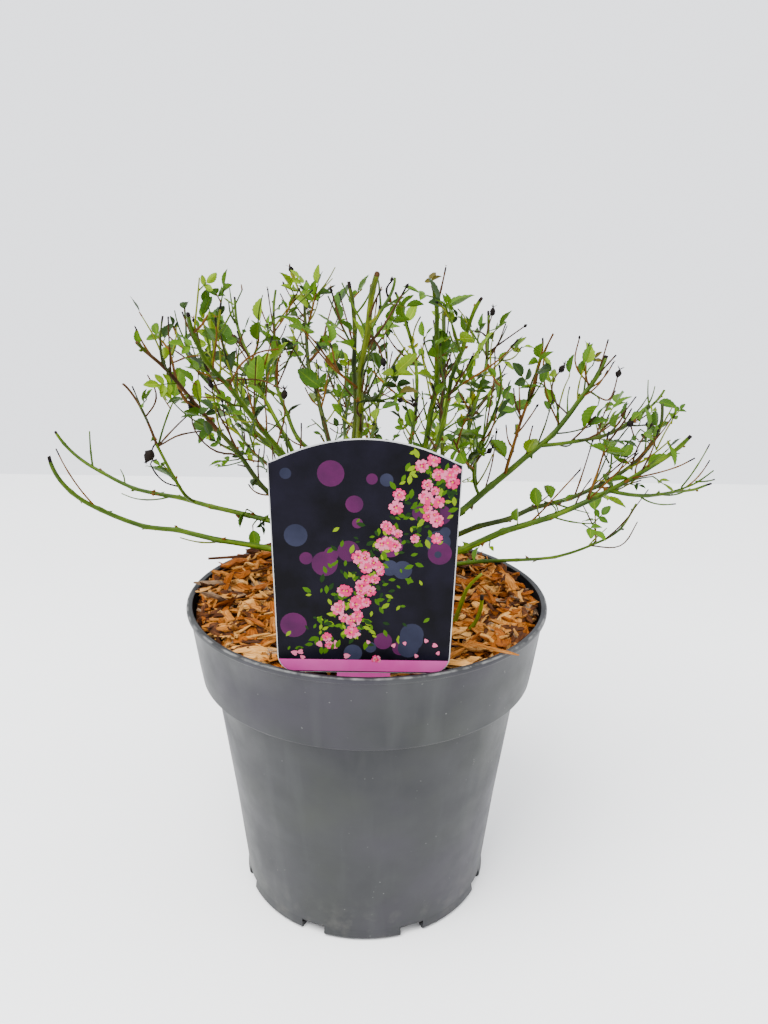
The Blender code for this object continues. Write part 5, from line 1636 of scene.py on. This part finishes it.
def prickles_and_buds():
    """Prickles between the buds of every thick cane, and a bud at each bud place."""
    rng = np.random.default_rng(SEED + 1)
    prickles, buds = Pile(), Pile()
    for cane in CANES:
        limb, tone = limbs[cane.name], TONE[CANE_TONE.get(cane.name, "cane_fresh")]
        count = int(limb.run[-1] / PRICKLE_SPACING) if cane.bare else 2
        run = rng.uniform(PRICKLE_START, limb.run[-1] * PRICKLE_END, count)
        base, along, out = on_limb(limb, run, rng.uniform(0, 360, count))
        brown = rng.random(count) < PRICKLE_BROWN
        hooks(prickles, base, along, out, rng.uniform(*PRICKLE_HEIGHT, count),
              np.where(brown, TONE["cane_brown"], tone))
        base, along, out = on_limb(limb, limb.buds, limb.turns)
        ovals(buds, base, unit(along + 0.55 * out), rng.uniform(*BUD_LENGTH, len(base)), 0.62,
              rng.choice([TONE["cane_brown"], TONE["cane_fresh"], TONE["cane_deep"]], len(base)), rng)
    dress(prickles.build("prickles", bark_tones), "cane_bark", *bough_nodes)
    dress(buds.build("buds", bark_tones), "cane_bark", *bough_nodes, *mass_nodes)


prickles_and_buds()

# %% [markdown]
# ## Twigs
# The rule's twigs come first, now as smooth bent shoots. Finer ones grow on from them and from
# the canes, inside the same reach: green shoots that carry small leaves, and the thin brown
# stalks of last summer's flowers, bare and often ending in a black bud.

# %% Twig growth
FINE_SPACING = 0.0080
FINE_SHARE = 0.80
FINE_LENGTH = (0.010, 0.032)
FINE_DIAMETER = (0.00105, 0.0006)
FINE_SPLAY = (22, 48)
FINE_LIFT = (0.1, 0.9)
FINE_POINTS = 5
DRY_LENGTH, GREEN_LENGTH = 1.25, 0.9   # size of dry and of green shoots
UPPER_START = 0.30      # shoots grow on a cane above this share of it
DRY_SHARE = 0.42
INNER_REACH, INNER_SPACING, INNER_SHARE = 0.062, 0.0085, 0.62   # shoots low on the canes, near the middle
INNER_SPLAY = (30, 62)
INNER_DRY_SHARE = 0.25
INNER_HEIGHT = (0.222, 0.288)
INNER_LENGTH = (0.007, 0.019)
CARD_ROOM = 0.043       # half width of the space that shoots and leaves leave to the card
GROUND_ROOM = 0.004


class Shoot(NamedTuple):
    """A grown shoot: its path, radii, bark tone, whether its tip is dry and its mass."""

    path: np.ndarray
    radii: np.ndarray
    tone: str
    dry: bool
    mass: object


def smooth_path(points, count):
    """A line of points resampled along a curve through them, by cubic steps between neighbours."""
    run = run_along(points)
    slope = np.gradient(points, run, axis=0)
    at = np.linspace(0, run[-1], count)
    k = np.clip(np.searchsorted(run, at, side="right") - 1, 0, len(run) - 2)
    span = (run[k + 1] - run[k])[:, None]
    t = (at[:, None] - run[k][:, None]) / span
    return ((2 * t**3 - 3 * t**2 + 1) * points[k] + (t**3 - 2 * t**2 + t) * span * slope[k]
            + (3 * t**2 - 2 * t**3) * points[k + 1] + (t**3 - t**2) * span * slope[k + 1])


def at_card(points):
    """Which points lie in the space that is left to the card."""
    return ((np.abs(points[..., 1] - LABEL_Y) < LABEL_ROOM) & (np.abs(points[..., 0]) < CARD_ROOM)
            & (points[..., 2] < LABEL_TOP))


def clear_path(path):
    """Whether a path keeps off the card and stays above the mulch."""
    return not at_card(path).any() and (path[:, 2] > GROUND + GROUND_ROOM).all()


def fine_shoot(mass, path, tone, dry):
    """A fine shoot of a mass, moved with the limb that bears it."""
    radii = np.linspace(*FINE_DIAMETER, len(path)) / 2
    return Shoot(carried(limbs[mass.cane.name], path), radii, tone, dry, mass)


def fine_shoots(mass, index):
    """Shoots from the buds of a mass's stem and twigs and from the upper bough, kept to its space."""
    rng = random.Random(SEED * 1000 + 500 + index)
    limb = limbs[mass.cane.name]
    upper = limb.axis[limb.run > limb.run[-1] * UPPER_START][::4]
    parents = [(upper, FINE_SPACING * 1.5), (mass.stem.points, FINE_SPACING)]
    shoots = []
    for parent, spacing in parents + [(twig.points, FINE_SPACING) for twig in mass.twigs]:
        turn = rng.uniform(0, 360)
        for root, tangent, _ in mass.nodes(parent, spacing, spacing * 0.6):
            turn += BUD_TURN
            if rng.random() > FINE_SHARE * mass.vigour:
                continue
            dry = rng.random() < DRY_SHARE
            length = rng.uniform(*FINE_LENGTH) * (DRY_LENGTH if dry else GREEN_LENGTH)
            path = twig_path(root, off_axis(tangent, turn, rng.uniform(*FINE_SPLAY)), length,
                             rng.uniform(*FINE_LIFT), FINE_POINTS)
            if all(mass.within(point) for point in path[1:]) and clear_path(path):
                tones = (("cane_brown", "stalk_dry", "stalk_dry") if dry
                         else ("cane_fresh", "cane_fresh", "cane_pale", "cane_deep"))
                shoots.append(fine_shoot(mass, path, rng.choice(tones), dry))
    return shoots


def inner_shoots(mass, index):
    """Short shoots low on the canes of the middle, where light falls in past the pruned tips."""
    rng = random.Random(SEED * 1000 + 900 + index)
    axis = limbs[mass.cane.name].axis
    middle = ((np.hypot(axis[:, 0], axis[:, 1]) < INNER_REACH) & (axis[:, 2] > INNER_HEIGHT[0])
              & (axis[:, 2] < INNER_HEIGHT[1]))
    if middle.sum() < 4:
        return []
    shoots, turn = [], rng.uniform(0, 360)
    for root, tangent, _ in mass.nodes(axis[middle][::2], INNER_SPACING, 0.0):
        turn += BUD_TURN
        if rng.random() > INNER_SHARE:
            continue
        length, dry = rng.uniform(*INNER_LENGTH), rng.random() < INNER_DRY_SHARE
        path = twig_path(root, off_axis(tangent, turn, rng.uniform(*INNER_SPLAY)), length,
                         rng.uniform(*FINE_LIFT), FINE_POINTS)
        if clear_path(path):
            tone = "stalk_dry" if dry else rng.choice(("cane_fresh", "cane_pale", "cane_pale", "cane_brown"))
            shoots.append(fine_shoot(mass, path, tone, dry))
    return shoots


rng = random.Random(SEED)
shoots = []
for index, mass in enumerate(masses):
    shoots += inner_shoots(mass, index)
    for twig in mass.twigs:
        tone = rng.choice(("cane_fresh", "cane_fresh", "cane_deep", "cane_pale", "cane_brown"))
        shoots.append(Shoot(carried(limbs[mass.cane.name], twig.points), twig.radii, tone, False, mass))
    shoots += fine_shoots(mass, index)
print("shoots:", len(shoots), "dry:", sum(shoot.dry for shoot in shoots))

# %% Placed growth
PLACED_STALKS = (
    # cane, share along it, steps from there in millimetres, tone, what it ends in
    ("left_fork", 0.75, ((5, -2, 12), (3, -2, 22)), "stalk_dry", "bare"),
    ("left_fork", 0.56, ((10, -4, 10), (19, -8, 19)), "stalk_dry", "bare"),
    ("left_fork", 0.56, ((12, -3, 8), (23, -7, 11), (37, -12, 12)), "stalk_dry", "bare"),
    ("left_fork", 0.25, ((-7, -3, 3), (-12, -5, 10), (-13, -6, 15), (-10, -4, 16)), "cane_black", "bare"),
    ("left_fork", 0.58, ((-1, -1, -1), (-2, -2, -3)), "cane_black", "dead_bud"),
    ("upper_left", 0.52, ((-12, -2, 3), (-17, -4, 8), (-21, -5, 15), (-22, -6, 24)), "stalk_dry", "head"),
    ("upper_left", 0.52, ((-5, -3, 14), (-9, -6, 24), (-11, -8, 35)), "stalk_dry", "head"),
    ("front_left", 0.49, ((2, -3, 8), (4, -5, 15), (5, -7, 25)), "cane_brown", "head"),
    ("front_left", 0.70, ((8, -3, 12), (16, -6, 17), (25, -8, 19)), "cane_brown", "bare"),
    ("back_left", 0.74, ((-3, -6, -15), (3, -10, -21), (9, -12, -25)), "cane_brown", "bare"),
    ("upper_left_fork", 0.68, ((8, -4, 4), (18, -8, 5)), "cane_brown", "bare"),
    ("mid_left", 0.77, ((18, -8, 6), (28, -12, 6), (39, -16, 2)), "stalk_dry", "bare"),
    ("right_high", 0.88, ((11, -2, -4), (13, -4, 2), (14, -5, 8)), "stalk_dry", "head"),
    ("right_high", 0.93, ((5, 3, 19),), "stalk_dry", "bare"),
    ("right_high", 0.92, ((9, -3, 13),), "stalk_dry", "bare"),
    ("right_high", 0.90, ((-9, -4, 14), (-9, -5, 25)), "cane_brown", "tip"),
    ("right_high", 0.89, ((-1, 5, 13), (0, 7, 23)), "cane_brown", "bare"),
    ("back_right", 0.83, ((0, -4, 13), (1, -6, 26)), "stalk_dry", "head"),
    ("back_right", 0.86, ((19, -8, 16),), "stalk_dry", "tip"),
    ("back_right", 0.91, ((-5, -4, 5), (-10, -8, 5)), "stalk_dry", "bare"),
    ("right_high", 0.73, ((-9, -4, 19), (-11, -6, 41), (-8, -6, 49)), "cane_brown", "bare"),
    ("right_upright", 0.76, ((2, -3, 12), (6, -6, 21)), "cane_brown", "bare"),
    ("right_high", 0.78, ((-10, -4, 10), (-10, -6, 20), (-8, -8, 24)), "stalk_dry", "head"),
    ("centre_fork", 0.71, ((1, 0, 7),), "cane_black", "tip"),
    ("dark_upright", 0.74, ((2, -2, 12), (2, -3, 23)), "cane_black", "tip"),
    ("dark_upright", 0.44, ((-4, -8, 11), (-3, -9, 20)), "cane_black", "tip"),
    ("arched_right", 0.51, ((-5, -3, 2), (-8, -5, 4)), "cane_black", "star"),
    ("arched_right", 0.47, ((1, -5, 4), (0, -7, 7)), "cane_black", "star"),
    ("centre_fork", 0.19, ((5, -4, -5), (6, -5, -10)), "stalk_dry", "head"),
    ("right_inner_fork", 0.21, ((2, -3, 7), (6, -5, 12)), "stalk_dry", "head"),
    ("low_right", 0.74, ((17, -1, 2), (26, -2, 16)), "stalk_dry", "bare"),
)
PLACED_LEAVES = (
    # cane, share along it, steps to the leaf's foot and from there to its tip, leaflets, tone
    ("front_left", 0.53, (10, -4, 10), (9, -2, 8), 1, "leaf_dark"),
    ("back_left", 0.72, (0, -6, 1), (15, -4, 8), 1, "leaf_mid"),
    ("back_left", 0.70, (8, -6, -4), (13, -3, -3), 1, "leaf_fresh"),
    ("mid_left", 0.82, (0, -4, 1), (-1, -2, -16), 1, "leaf_light"),
    ("upper_left_fork", 0.68, (-1, 0, 0), (-1, -2, -9), 1, "leaf_dark"),
    ("long_left", 0.34, (-7, 0, 5), (-4, -4, -9), 1, "leaf_mid"),
    ("long_left", 0.34, (-4, 0, -4), (1, -4, -14), 1, "leaf_fresh"),
    ("long_left", 0.34, (0, 0, 1), (2, -4, -10), 3, "leaf_dark"),
    ("main_right", 0.51, (-2, 0, 5), (-1, -3, 13), 1, "leaf_fresh"),
    ("main_right", 0.56, (-3, 0, 6), (0, -3, 13), 1, "leaf_fresh"),
    ("main_right", 0.57, (-3, 0, 6), (10, -3, 4), 3, "leaf_fresh"),
    ("main_right", 0.44, (0, 0, 1), (0, -3, 12), 1, "leaf_fresh"),
    ("main_right", 0.35, (2, 0, -3), (1, -6, -2), 1, "leaf_light"),
    ("main_right", 0.33, (0, 0, -1), (-3, -6, -8), 1, "leaf_fresh"),
    ("main_right", 0.94, (-4, 0, 5), (3, -3, -12), 1, "leaf_fresh"),
    ("centre", 0.62, (-3, -5, 0), (-10, -3, 5), 1, "leaf_dark"),
    ("centre", 0.79, (0, -5, 0), (-7, -3, 8), 1, "leaf_mid"),
    ("right_high", 0.88, (6, -4, -4), (-4, -2, -17), 1, "leaf_fresh"),
    ("twin_right", 0.89, (-10, -4, 5), (-8, -2, -11), 3, "leaf_mid"),
    ("back_right", 0.84, (8, -4, 0), (7, -2, -7), 1, "leaf_light"),
    ("right_upright", 0.69, (5, -4, -1), (-14, -2, 0), 1, "leaf_fresh"),
    ("upper_left", 0.51, (-1, -4, 0), (-15, -2, -1), 3, "leaf_fresh"),
)
SPROUTS = (
    # young shoots from the mulch: their points in millimetres
    ((44, -26, 158), (47, -29, 172), (51, -30, 184), (57, -30, 191)),
    ((50, -31, 158), (54, -33, 166), (56, -35, 174), (57, -36, 182)),
    ((41, -18, 158), (41, -22, 172), (39, -28, 186)),
)
STALK_RADII = (0.00050, 0.00036)
SPROUT_RADII = (0.00120, 0.00075)


def placed_foot(cane, share):
    """The point on a cane's kinked limb at a share of its length."""
    limb = limbs[cane]
    return limb.points[int(share * (len(limb.points) - 1))]


def placed_shoots():
    """The placed stalks with what they end in, the stalks of the placed leaves and the sprouts."""
    made = []
    for cane, share, steps, tone, end in PLACED_STALKS:
        foot = placed_foot(cane, share)
        path = np.vstack([foot, foot + np.array(steps) / 1000])
        made.append((path, STALK_RADII, tone, end))
    for cane, share, step, *_ in PLACED_LEAVES:
        foot, step = placed_foot(cane, share), np.array(step) / 1000
        path = np.array([foot, foot + step * (0.5, 0.5, 0.3), foot + step])
        made.append((path, STALK_RADII[1:] * 2, "cane_fresh", "leaf"))
    for points in SPROUTS:
        made.append((np.array(points) / 1000, SPROUT_RADII, "cane_pale", "leaf"))
    return [(Shoot(path, np.linspace(*radii, len(path)), tone, False, None), end)
            for path, radii, tone, end in made]


placed = placed_shoots()
print("placed stalks:", len(PLACED_STALKS), "leaves:", len(PLACED_LEAVES), "sprouts:", len(SPROUTS))

# %% Twig surfaces
TWIG_ROWS = 11
TWIG_SWAY = 0.0007
BLACK_TIPS = 0.3        # share of the green twigs whose tip is black
TIP_SWELL = 1.25


def twig_skin(pile, shoot, rng):
    """A shoot's tube through a smooth path that wavers a little, black over the last stretch if dry."""
    path = smooth_path(shoot.path, TWIG_ROWS)
    _, side, top = frames_along(path)
    sway = np.sin(np.linspace(0, math.pi, TWIG_ROWS))[:, None]
    path = path + sway * (side * rng.normal(0, TWIG_SWAY) + top * rng.normal(0, TWIG_SWAY))
    radii = np.interp(np.linspace(0, 1, TWIG_ROWS), np.linspace(0, 1, len(shoot.radii)), shoot.radii)
    radii = radii * (1 + 0.25 * np.exp(-((np.arange(TWIG_ROWS) - rng.integers(3, 8)) / 0.8) ** 2))
    slots = np.full(TWIG_ROWS, TONE[shoot.tone])
    if shoot.dry or rng.random() < BLACK_TIPS:
        slots[-2:] = TONE["cane_black"]
        radii[-2:] *= TIP_SWELL
    tube(pile, path, radii, 6, slots)


rng = np.random.default_rng(SEED + 2)
pile = Pile()
for shoot in shoots + [shoot for shoot, _ in placed]:
    twig_skin(pile, shoot, rng)
dress(pile.build("twigs", bark_tones), "foliage", *mass_nodes)

# %% [markdown]
# ## Leaves
# A rose leaf is a thin stalk with one, three or five toothed leaflets, folded along the midrib
# and bent down at the tip. Every leaf of the rule becomes such a spray, and small ones grow at the
# ends of the fine green shoots. Tones are dealt out spray by spray.

# %% Leaf tones
LEAF_TONES = {
    # name: blade, veins
    "leaf_fresh": ((108, 138, 38), (146, 170, 80)),
    "leaf_light": ((152, 178, 80), (192, 210, 126)),
    "leaf_mid": ((80, 108, 28), (116, 142, 58)),
    "leaf_dark": ((46, 66, 16), (78, 98, 38)),
    "leaf_yellow": ((180, 180, 76), (208, 208, 124)),
    "leaf_bronze": ((92, 86, 34), (130, 120, 64)),
}
LEAF_TONE_SHARES = (0.33, 0.17, 0.29, 0.17, 0.02, 0.02)
LEAF_TONE = {name: number for number, name in enumerate(LEAF_TONES)}


def leaf_finish(name, blade, vein):
    """A plain blade with a paler midrib and side veins that run forward from it, by its own UV
    map: across from -1 to 1 and along from 0 to 1."""
    finish = Finish(name, 0.50, 0.12, deepen=0.36, boost=1.5)
    combine, times = finish.combine, finish.times
    spots = finish.node("SeparateXYZ", {"Vector": finish.node("UVMap").outputs["UV"]})
    across = combine("ABSOLUTE", spots.outputs["X"])
    wave = combine("SUBTRACT", times(spots.outputs["Y"], 7.0), times(across, 1.5))
    side_veins = finish.steps(combine("PINGPONG", wave, 0.5), 0.0, 0.13, 1.0, 0.0)
    veins = combine("MAXIMUM", times(side_veins, 0.45), finish.steps(across, 0.04, 0.12, 1.0, 0.0))
    finish.link(finish.stain(finish.screen(blade), veins, vein), "Base Color")
    finish.relief(veins, 0.00012)
    return finish.material


leaf_tones = [leaf_finish(name, *tones) for name, tones in LEAF_TONES.items()]
print("leaf tones:", list(LEAF_TONES))

# %% Leaflets
LEAFLET_ROWS = 13
LEAFLET_WIDTH = (0.54, 0.73)   # share of its length
LEAFLET_FOLD = (10, 48)        # degrees that each half stands up from flat
LEAFLET_DROOP = (-0.02, 0.24)
TOOTH = 0.055
SPRAYS = {
    # leaflets: ((share along the stalk, degrees off it, share of the spray's length), ...), stalk share
    1: (((0.22, 0, 0.95),), 0.24),
    3: (((0.38, 62, 0.50), (0.38, -62, 0.50), (0.55, 0, 0.62)), 0.56),
    5: (((0.28, 66, 0.34), (0.28, -66, 0.34), (0.47, 60, 0.42), (0.47, -60, 0.42), (0.61, 0, 0.52)), 0.62),
}
SPRAY_REACH = {1: 1.0, 3: 1.15, 5: 1.35}
SMALL_LEAF = (0.0065, 0.0130)
SMALL_LEAF_SHARE = 0.50
SMALL_LEAF_SPLAY = (8, 55)
INNER_LEAF = 0.72     # size of the inner leaves beside the others
LEAF_SPAN = 1.17      # how far a spray's leaves reach, as a share of its length
SPRAYS_KEPT = {"low_left": 0.0, "long_left": 0.0, "right_high_fork": 0.5, "twin_right": 0.6,
               "main_right": 0.75}   # share of a cane's leaves that are drawn, otherwise all


def leaflet_shapes(roots, along, face, lengths, rng):
    """Leaflets as grids of rows and five columns. With u from stalk to tip and v from -1 to 1,
    the point is root + along u length + side v w(u) cos(fold) + face (|v| w(u) sin(fold) - droop u u
    length), where w is half the width times a sine that peaks below the middle, toothed at the
    outer columns."""
    count = len(roots)
    u = np.linspace(0, 1, LEAFLET_ROWS)[:, None]
    v = np.linspace(-1, 1, 5)
    tooth = np.where(np.arange(LEAFLET_ROWS) % 2 == 1, 1.0, -1.0)[:, None] * (np.abs(v) == 1)
    width = np.sin(np.pi * u ** 0.86) ** 0.72 * (1 + TOOTH * tooth)
    ahead = u + 0.008 * tooth * (u > 0) * (u < 1)
    side = np.cross(along, face)
    half = (lengths * rng.uniform(*LEAFLET_WIDTH, count) / 2)[:, None, None]
    fold = np.radians(rng.uniform(*LEAFLET_FOLD, count))[:, None, None]
    droop = rng.uniform(*LEAFLET_DROOP, count)[:, None, None]
    bend = rng.normal(0, 0.06, count)[:, None, None]
    long = lengths[:, None, None]
    x = long * ahead * (1 - 0.35 * droop * ahead)
    y = half * width * v * np.cos(fold) + long * bend * u**2
    z = half * width * np.abs(v) * np.sin(fold) - long * droop * u**2 + 0.04 * half * np.sin(9 * u + 2 * v)
    shapes = roots[:, None, None] + sum(axis[:, None, None] * amount[..., None]
                                        for axis, amount in ((along, x), (side, y), (face, z)))
    uvs = stacked(v, u).reshape(-1, 2)
    return shapes.reshape(count, -1, 3), uvs


class Spray(NamedTuple):
    """A leaf to be drawn: its root, direction, face normal, length, leaflet count and tone."""

    root: np.ndarray
    along: np.ndarray
    face: np.ndarray
    length: float
    leaflets: int
    tone: int


def deal_tone(rng):
    """A leaf tone at random, by the tones' shares."""
    return int(rng.choice(len(LEAF_TONES), p=LEAF_TONE_SHARES))


def make_sprays():
    """Sprays for every leaf of the rule, and small ones near the ends of the green shoots."""
    rng = np.random.default_rng(SEED + 3)
    sprays, owners = [], []
    for mass in masses:
        for leaf in mass.leaves:
            leaflets = int(rng.choice([1, 3, 5], p=(0.42, 0.38, 0.20)))
            owners.append(mass.cane.name)
            sprays.append(Spray(carried(limbs[mass.cane.name], leaf.root)[0], leaf.along, leaf.face,
                                leaf.length * SPRAY_REACH[leaflets], leaflets, deal_tone(rng)))
    for shoot in shoots:
        if shoot.dry:
            continue
        headings, foot = directions(shoot.path), shoot.path[0]
        inner = math.hypot(foot[0], foot[1]) < INNER_REACH and foot[2] < INNER_HEIGHT[1]
        for place in (len(shoot.path) - 1, len(shoot.path) - 2):
            if rng.random() > SMALL_LEAF_SHARE * shoot.mass.vigour:
                continue
            along = off_axis(headings[place], rng.uniform(0, 360), rng.uniform(*SMALL_LEAF_SPLAY))
            leaflets = int(rng.choice([1, 3], p=(0.6, 0.4)))
            length = rng.uniform(*SMALL_LEAF) * SPRAY_REACH[leaflets] * (INNER_LEAF if inner else 1.0)
            tip = shoot.path[place] + along * length * 0.8
            if shoot.mass.within(tip) or math.hypot(tip[0], tip[1]) < INNER_REACH:
                owners.append(shoot.mass.cane.name)
                sprays.append(Spray(shoot.path[place], along, upward_face(along, rng.normal(0, 0.7)), length,
                                    leaflets, deal_tone(rng)))
    thinning = np.random.default_rng(SEED + 9)
    sprays = [spray for spray, owner in zip(sprays, owners)
              if thinning.random() < SPRAYS_KEPT.get(owner, 1.0)]
    for cane, share, step, reach, leaflets, tone in PLACED_LEAVES:
        reach = np.array(reach) / 1000
        along = unit(reach)
        sprays.append(Spray(placed_foot(cane, share) + np.array(step) / 1000, along,
                            upward_face(along, rng.normal(0, 0.35)), np.linalg.norm(reach) / LEAF_SPAN,
                            leaflets, LEAF_TONE[tone]))
    return sprays


sprays = make_sprays()
print("sprays:", len(sprays), "leaflets:", sum(spray.leaflets for spray in sprays))

# %% Leaf surfaces
LEAF_STALK_RADII = (0.00042, 0.00026)


def draw_sprays():
    """The leaf stalks as thin tubes and the leaflets as one mesh."""
    rng = np.random.default_rng(SEED + 4)
    stalks, rows = Pile(), []
    for spray in sprays:
        leaflets, stalk = SPRAYS[spray.leaflets]
        sag = rng.uniform(0.0, 0.25)

        def spot(share):
            """Places at shares of the spray's length, which sags as a parabola."""
            return spray.root + spray.length * (spray.along * share - spray.face * sag * share**2)

        tube(stalks, spot(np.linspace(0, stalk, 5)[:, None]), np.linspace(*LEAF_STALK_RADII, 5), 5,
             TONE[rng.choice(["cane_fresh", "cane_pale", "cane_brown"], p=(0.5, 0.3, 0.2))])
        for at, off, size in leaflets:
            turn = math.radians(off + rng.normal(0, 7))
            along = math.cos(turn) * spray.along + math.sin(turn) * np.cross(spray.along, spray.face)
            along = unit(along + spray.face * rng.normal(0.02, 0.12))
            rows.append((spot(min(at, stalk - 0.01)), along,
                         unit(spray.face - along * (along @ spray.face)),
                         spray.length * size * rng.uniform(0.9, 1.1), spray.tone))
    roots, alongs, faces, lengths, tones = columns_of(rows)
    shapes, uvs = leaflet_shapes(roots, alongs, faces, lengths, rng)
    inside = (shapes > solid_low).all((1, 2)) & (shapes < solid_high).all((1, 2))
    keep = inside & ~at_card(shapes).any(1)
    pile = Pile()
    copies(pile, shapes[keep], grid_faces(LEAFLET_ROWS, 5), tones[keep], uvs)
    print("leaflets kept:", int(keep.sum()), "of", len(keep))
    dress(stalks.build("leaf_stalks", bark_tones), "foliage", *mass_nodes)
    dress(pile.build("leaves", leaf_tones), "foliage", *mass_nodes)


draw_sprays()

# %% Dried heads and black buds
HEAD_LENGTH = (0.0034, 0.0050)
DRY_BUD_LENGTH = (0.0012, 0.0026)
DRY_BUD_SHARE = 0.55
ENDS = {
    # what a placed stalk ends in: length, width as a share of it, length of the sepals
    "head": (0.0050, 0.60, 0.0028), "star": (0.0036, 0.90, 0.0050), "tip": (0.0026, 0.60, 0.0),
    "dead_bud": (0.0078, 0.74, 0.0022),
}


SEPALS = 5
# a sepal's rows: share of its length, half width, how far it spreads and how far it curls back
SEPAL_ROWS = ((0.0, 0.16, 0.0, 0.25), (0.5, 0.14, 0.35, 0.40), (1.0, 0.02, 0.9, 0.25))


def sepals(pile, roots, axes, lengths, rng, tone):
    """Shrivelled sepals: narrow three-row strips that spread from a head's end and curl back."""
    aside = aside_of(axes)
    for number in range(SEPALS):
        turn = math.radians(number * 360 / SEPALS) + rng.uniform(0, 1, len(roots))
        out = np.cos(turn)[:, None] * aside + np.sin(turn)[:, None] * np.cross(axes, aside)
        across = np.cross(axes, out)
        shape = np.stack([roots + lengths[:, None] * (axes * (u * 0.6 - curl * 0.35 * u)
                                                      + out * (reach + 0.15) * 0.8 + across * v * half)
                          for u, half, reach, curl in SEPAL_ROWS for v in (-1, 1)], axis=1)
        copies(pile, shape, grid_faces(3, 2), TONE[tone])


def tips_of(shoots):
    """The shoots' last points and the directions in which they end."""
    return columns_of((shoot.path[-1], unit(shoot.path[-1] - shoot.path[-2])) for shoot in shoots)


def dried_heads():
    """Heads at the rule's places, and black buds at the ends of dry stalks."""
    rng, black = np.random.default_rng(SEED + 5), TONE["cane_black"]
    pile = Pile()
    roots, axes = columns_of((carried(limbs[mass.cane.name], root)[0], axis)
                             for mass in masses for root, axis in mass.heads)
    lengths = rng.uniform(*HEAD_LENGTH, len(roots))
    ovals(pile, roots, axes, lengths, 0.80, black, rng, rows=8, rough=0.06)
    sepals(pile, roots + axes * lengths[:, None] * 0.9, axes, lengths * 0.7, rng, "cane_brown")
    roots, axes = tips_of([shoot for shoot in shoots if shoot.dry and rng.random() < DRY_BUD_SHARE])
    lengths = rng.uniform(*DRY_BUD_LENGTH, len(roots))
    ovals(pile, roots - axes * 0.0003, axes, lengths, 0.62, black, rng, rough=0.08)
    some = rng.random(len(roots)) < 0.4
    sepals(pile, (roots + axes * lengths[:, None] * 0.8)[some], axes[some], lengths[some] * 0.8, rng,
           "cane_brown")
    for end, (length, ratio, sepal) in ENDS.items():
        roots, axes = tips_of([shoot for shoot, name in placed if name == end])
        lengths = length * rng.uniform(0.85, 1.15, len(roots))
        ovals(pile, roots - axes * 0.0004, axes, lengths, ratio, black, rng, rows=8, rough=0.10)
        if sepal:
            sepals(pile, roots + axes * lengths[:, None] * 0.85, axes, np.full(len(roots), sepal), rng,
                   "cane_black")
    dress(pile.build("dried_heads", bark_tones), "foliage", *mass_nodes)


dried_heads()

# %% [markdown]
# ## Size and finish
# The dressed part keeps the size of the solids, so both boxes are set side by side and the shown one is
# printed.

# %% Both boxes side by side
shown_low, shown_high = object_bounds()
({"solids": [list(map(float, solid_low)), list(map(float, solid_high))],
           "shown": [list(map(float, shown_low)), list(map(float, shown_high))]})
print("shown box:", np.round(shown_low, 4), np.round(shown_high, 4))
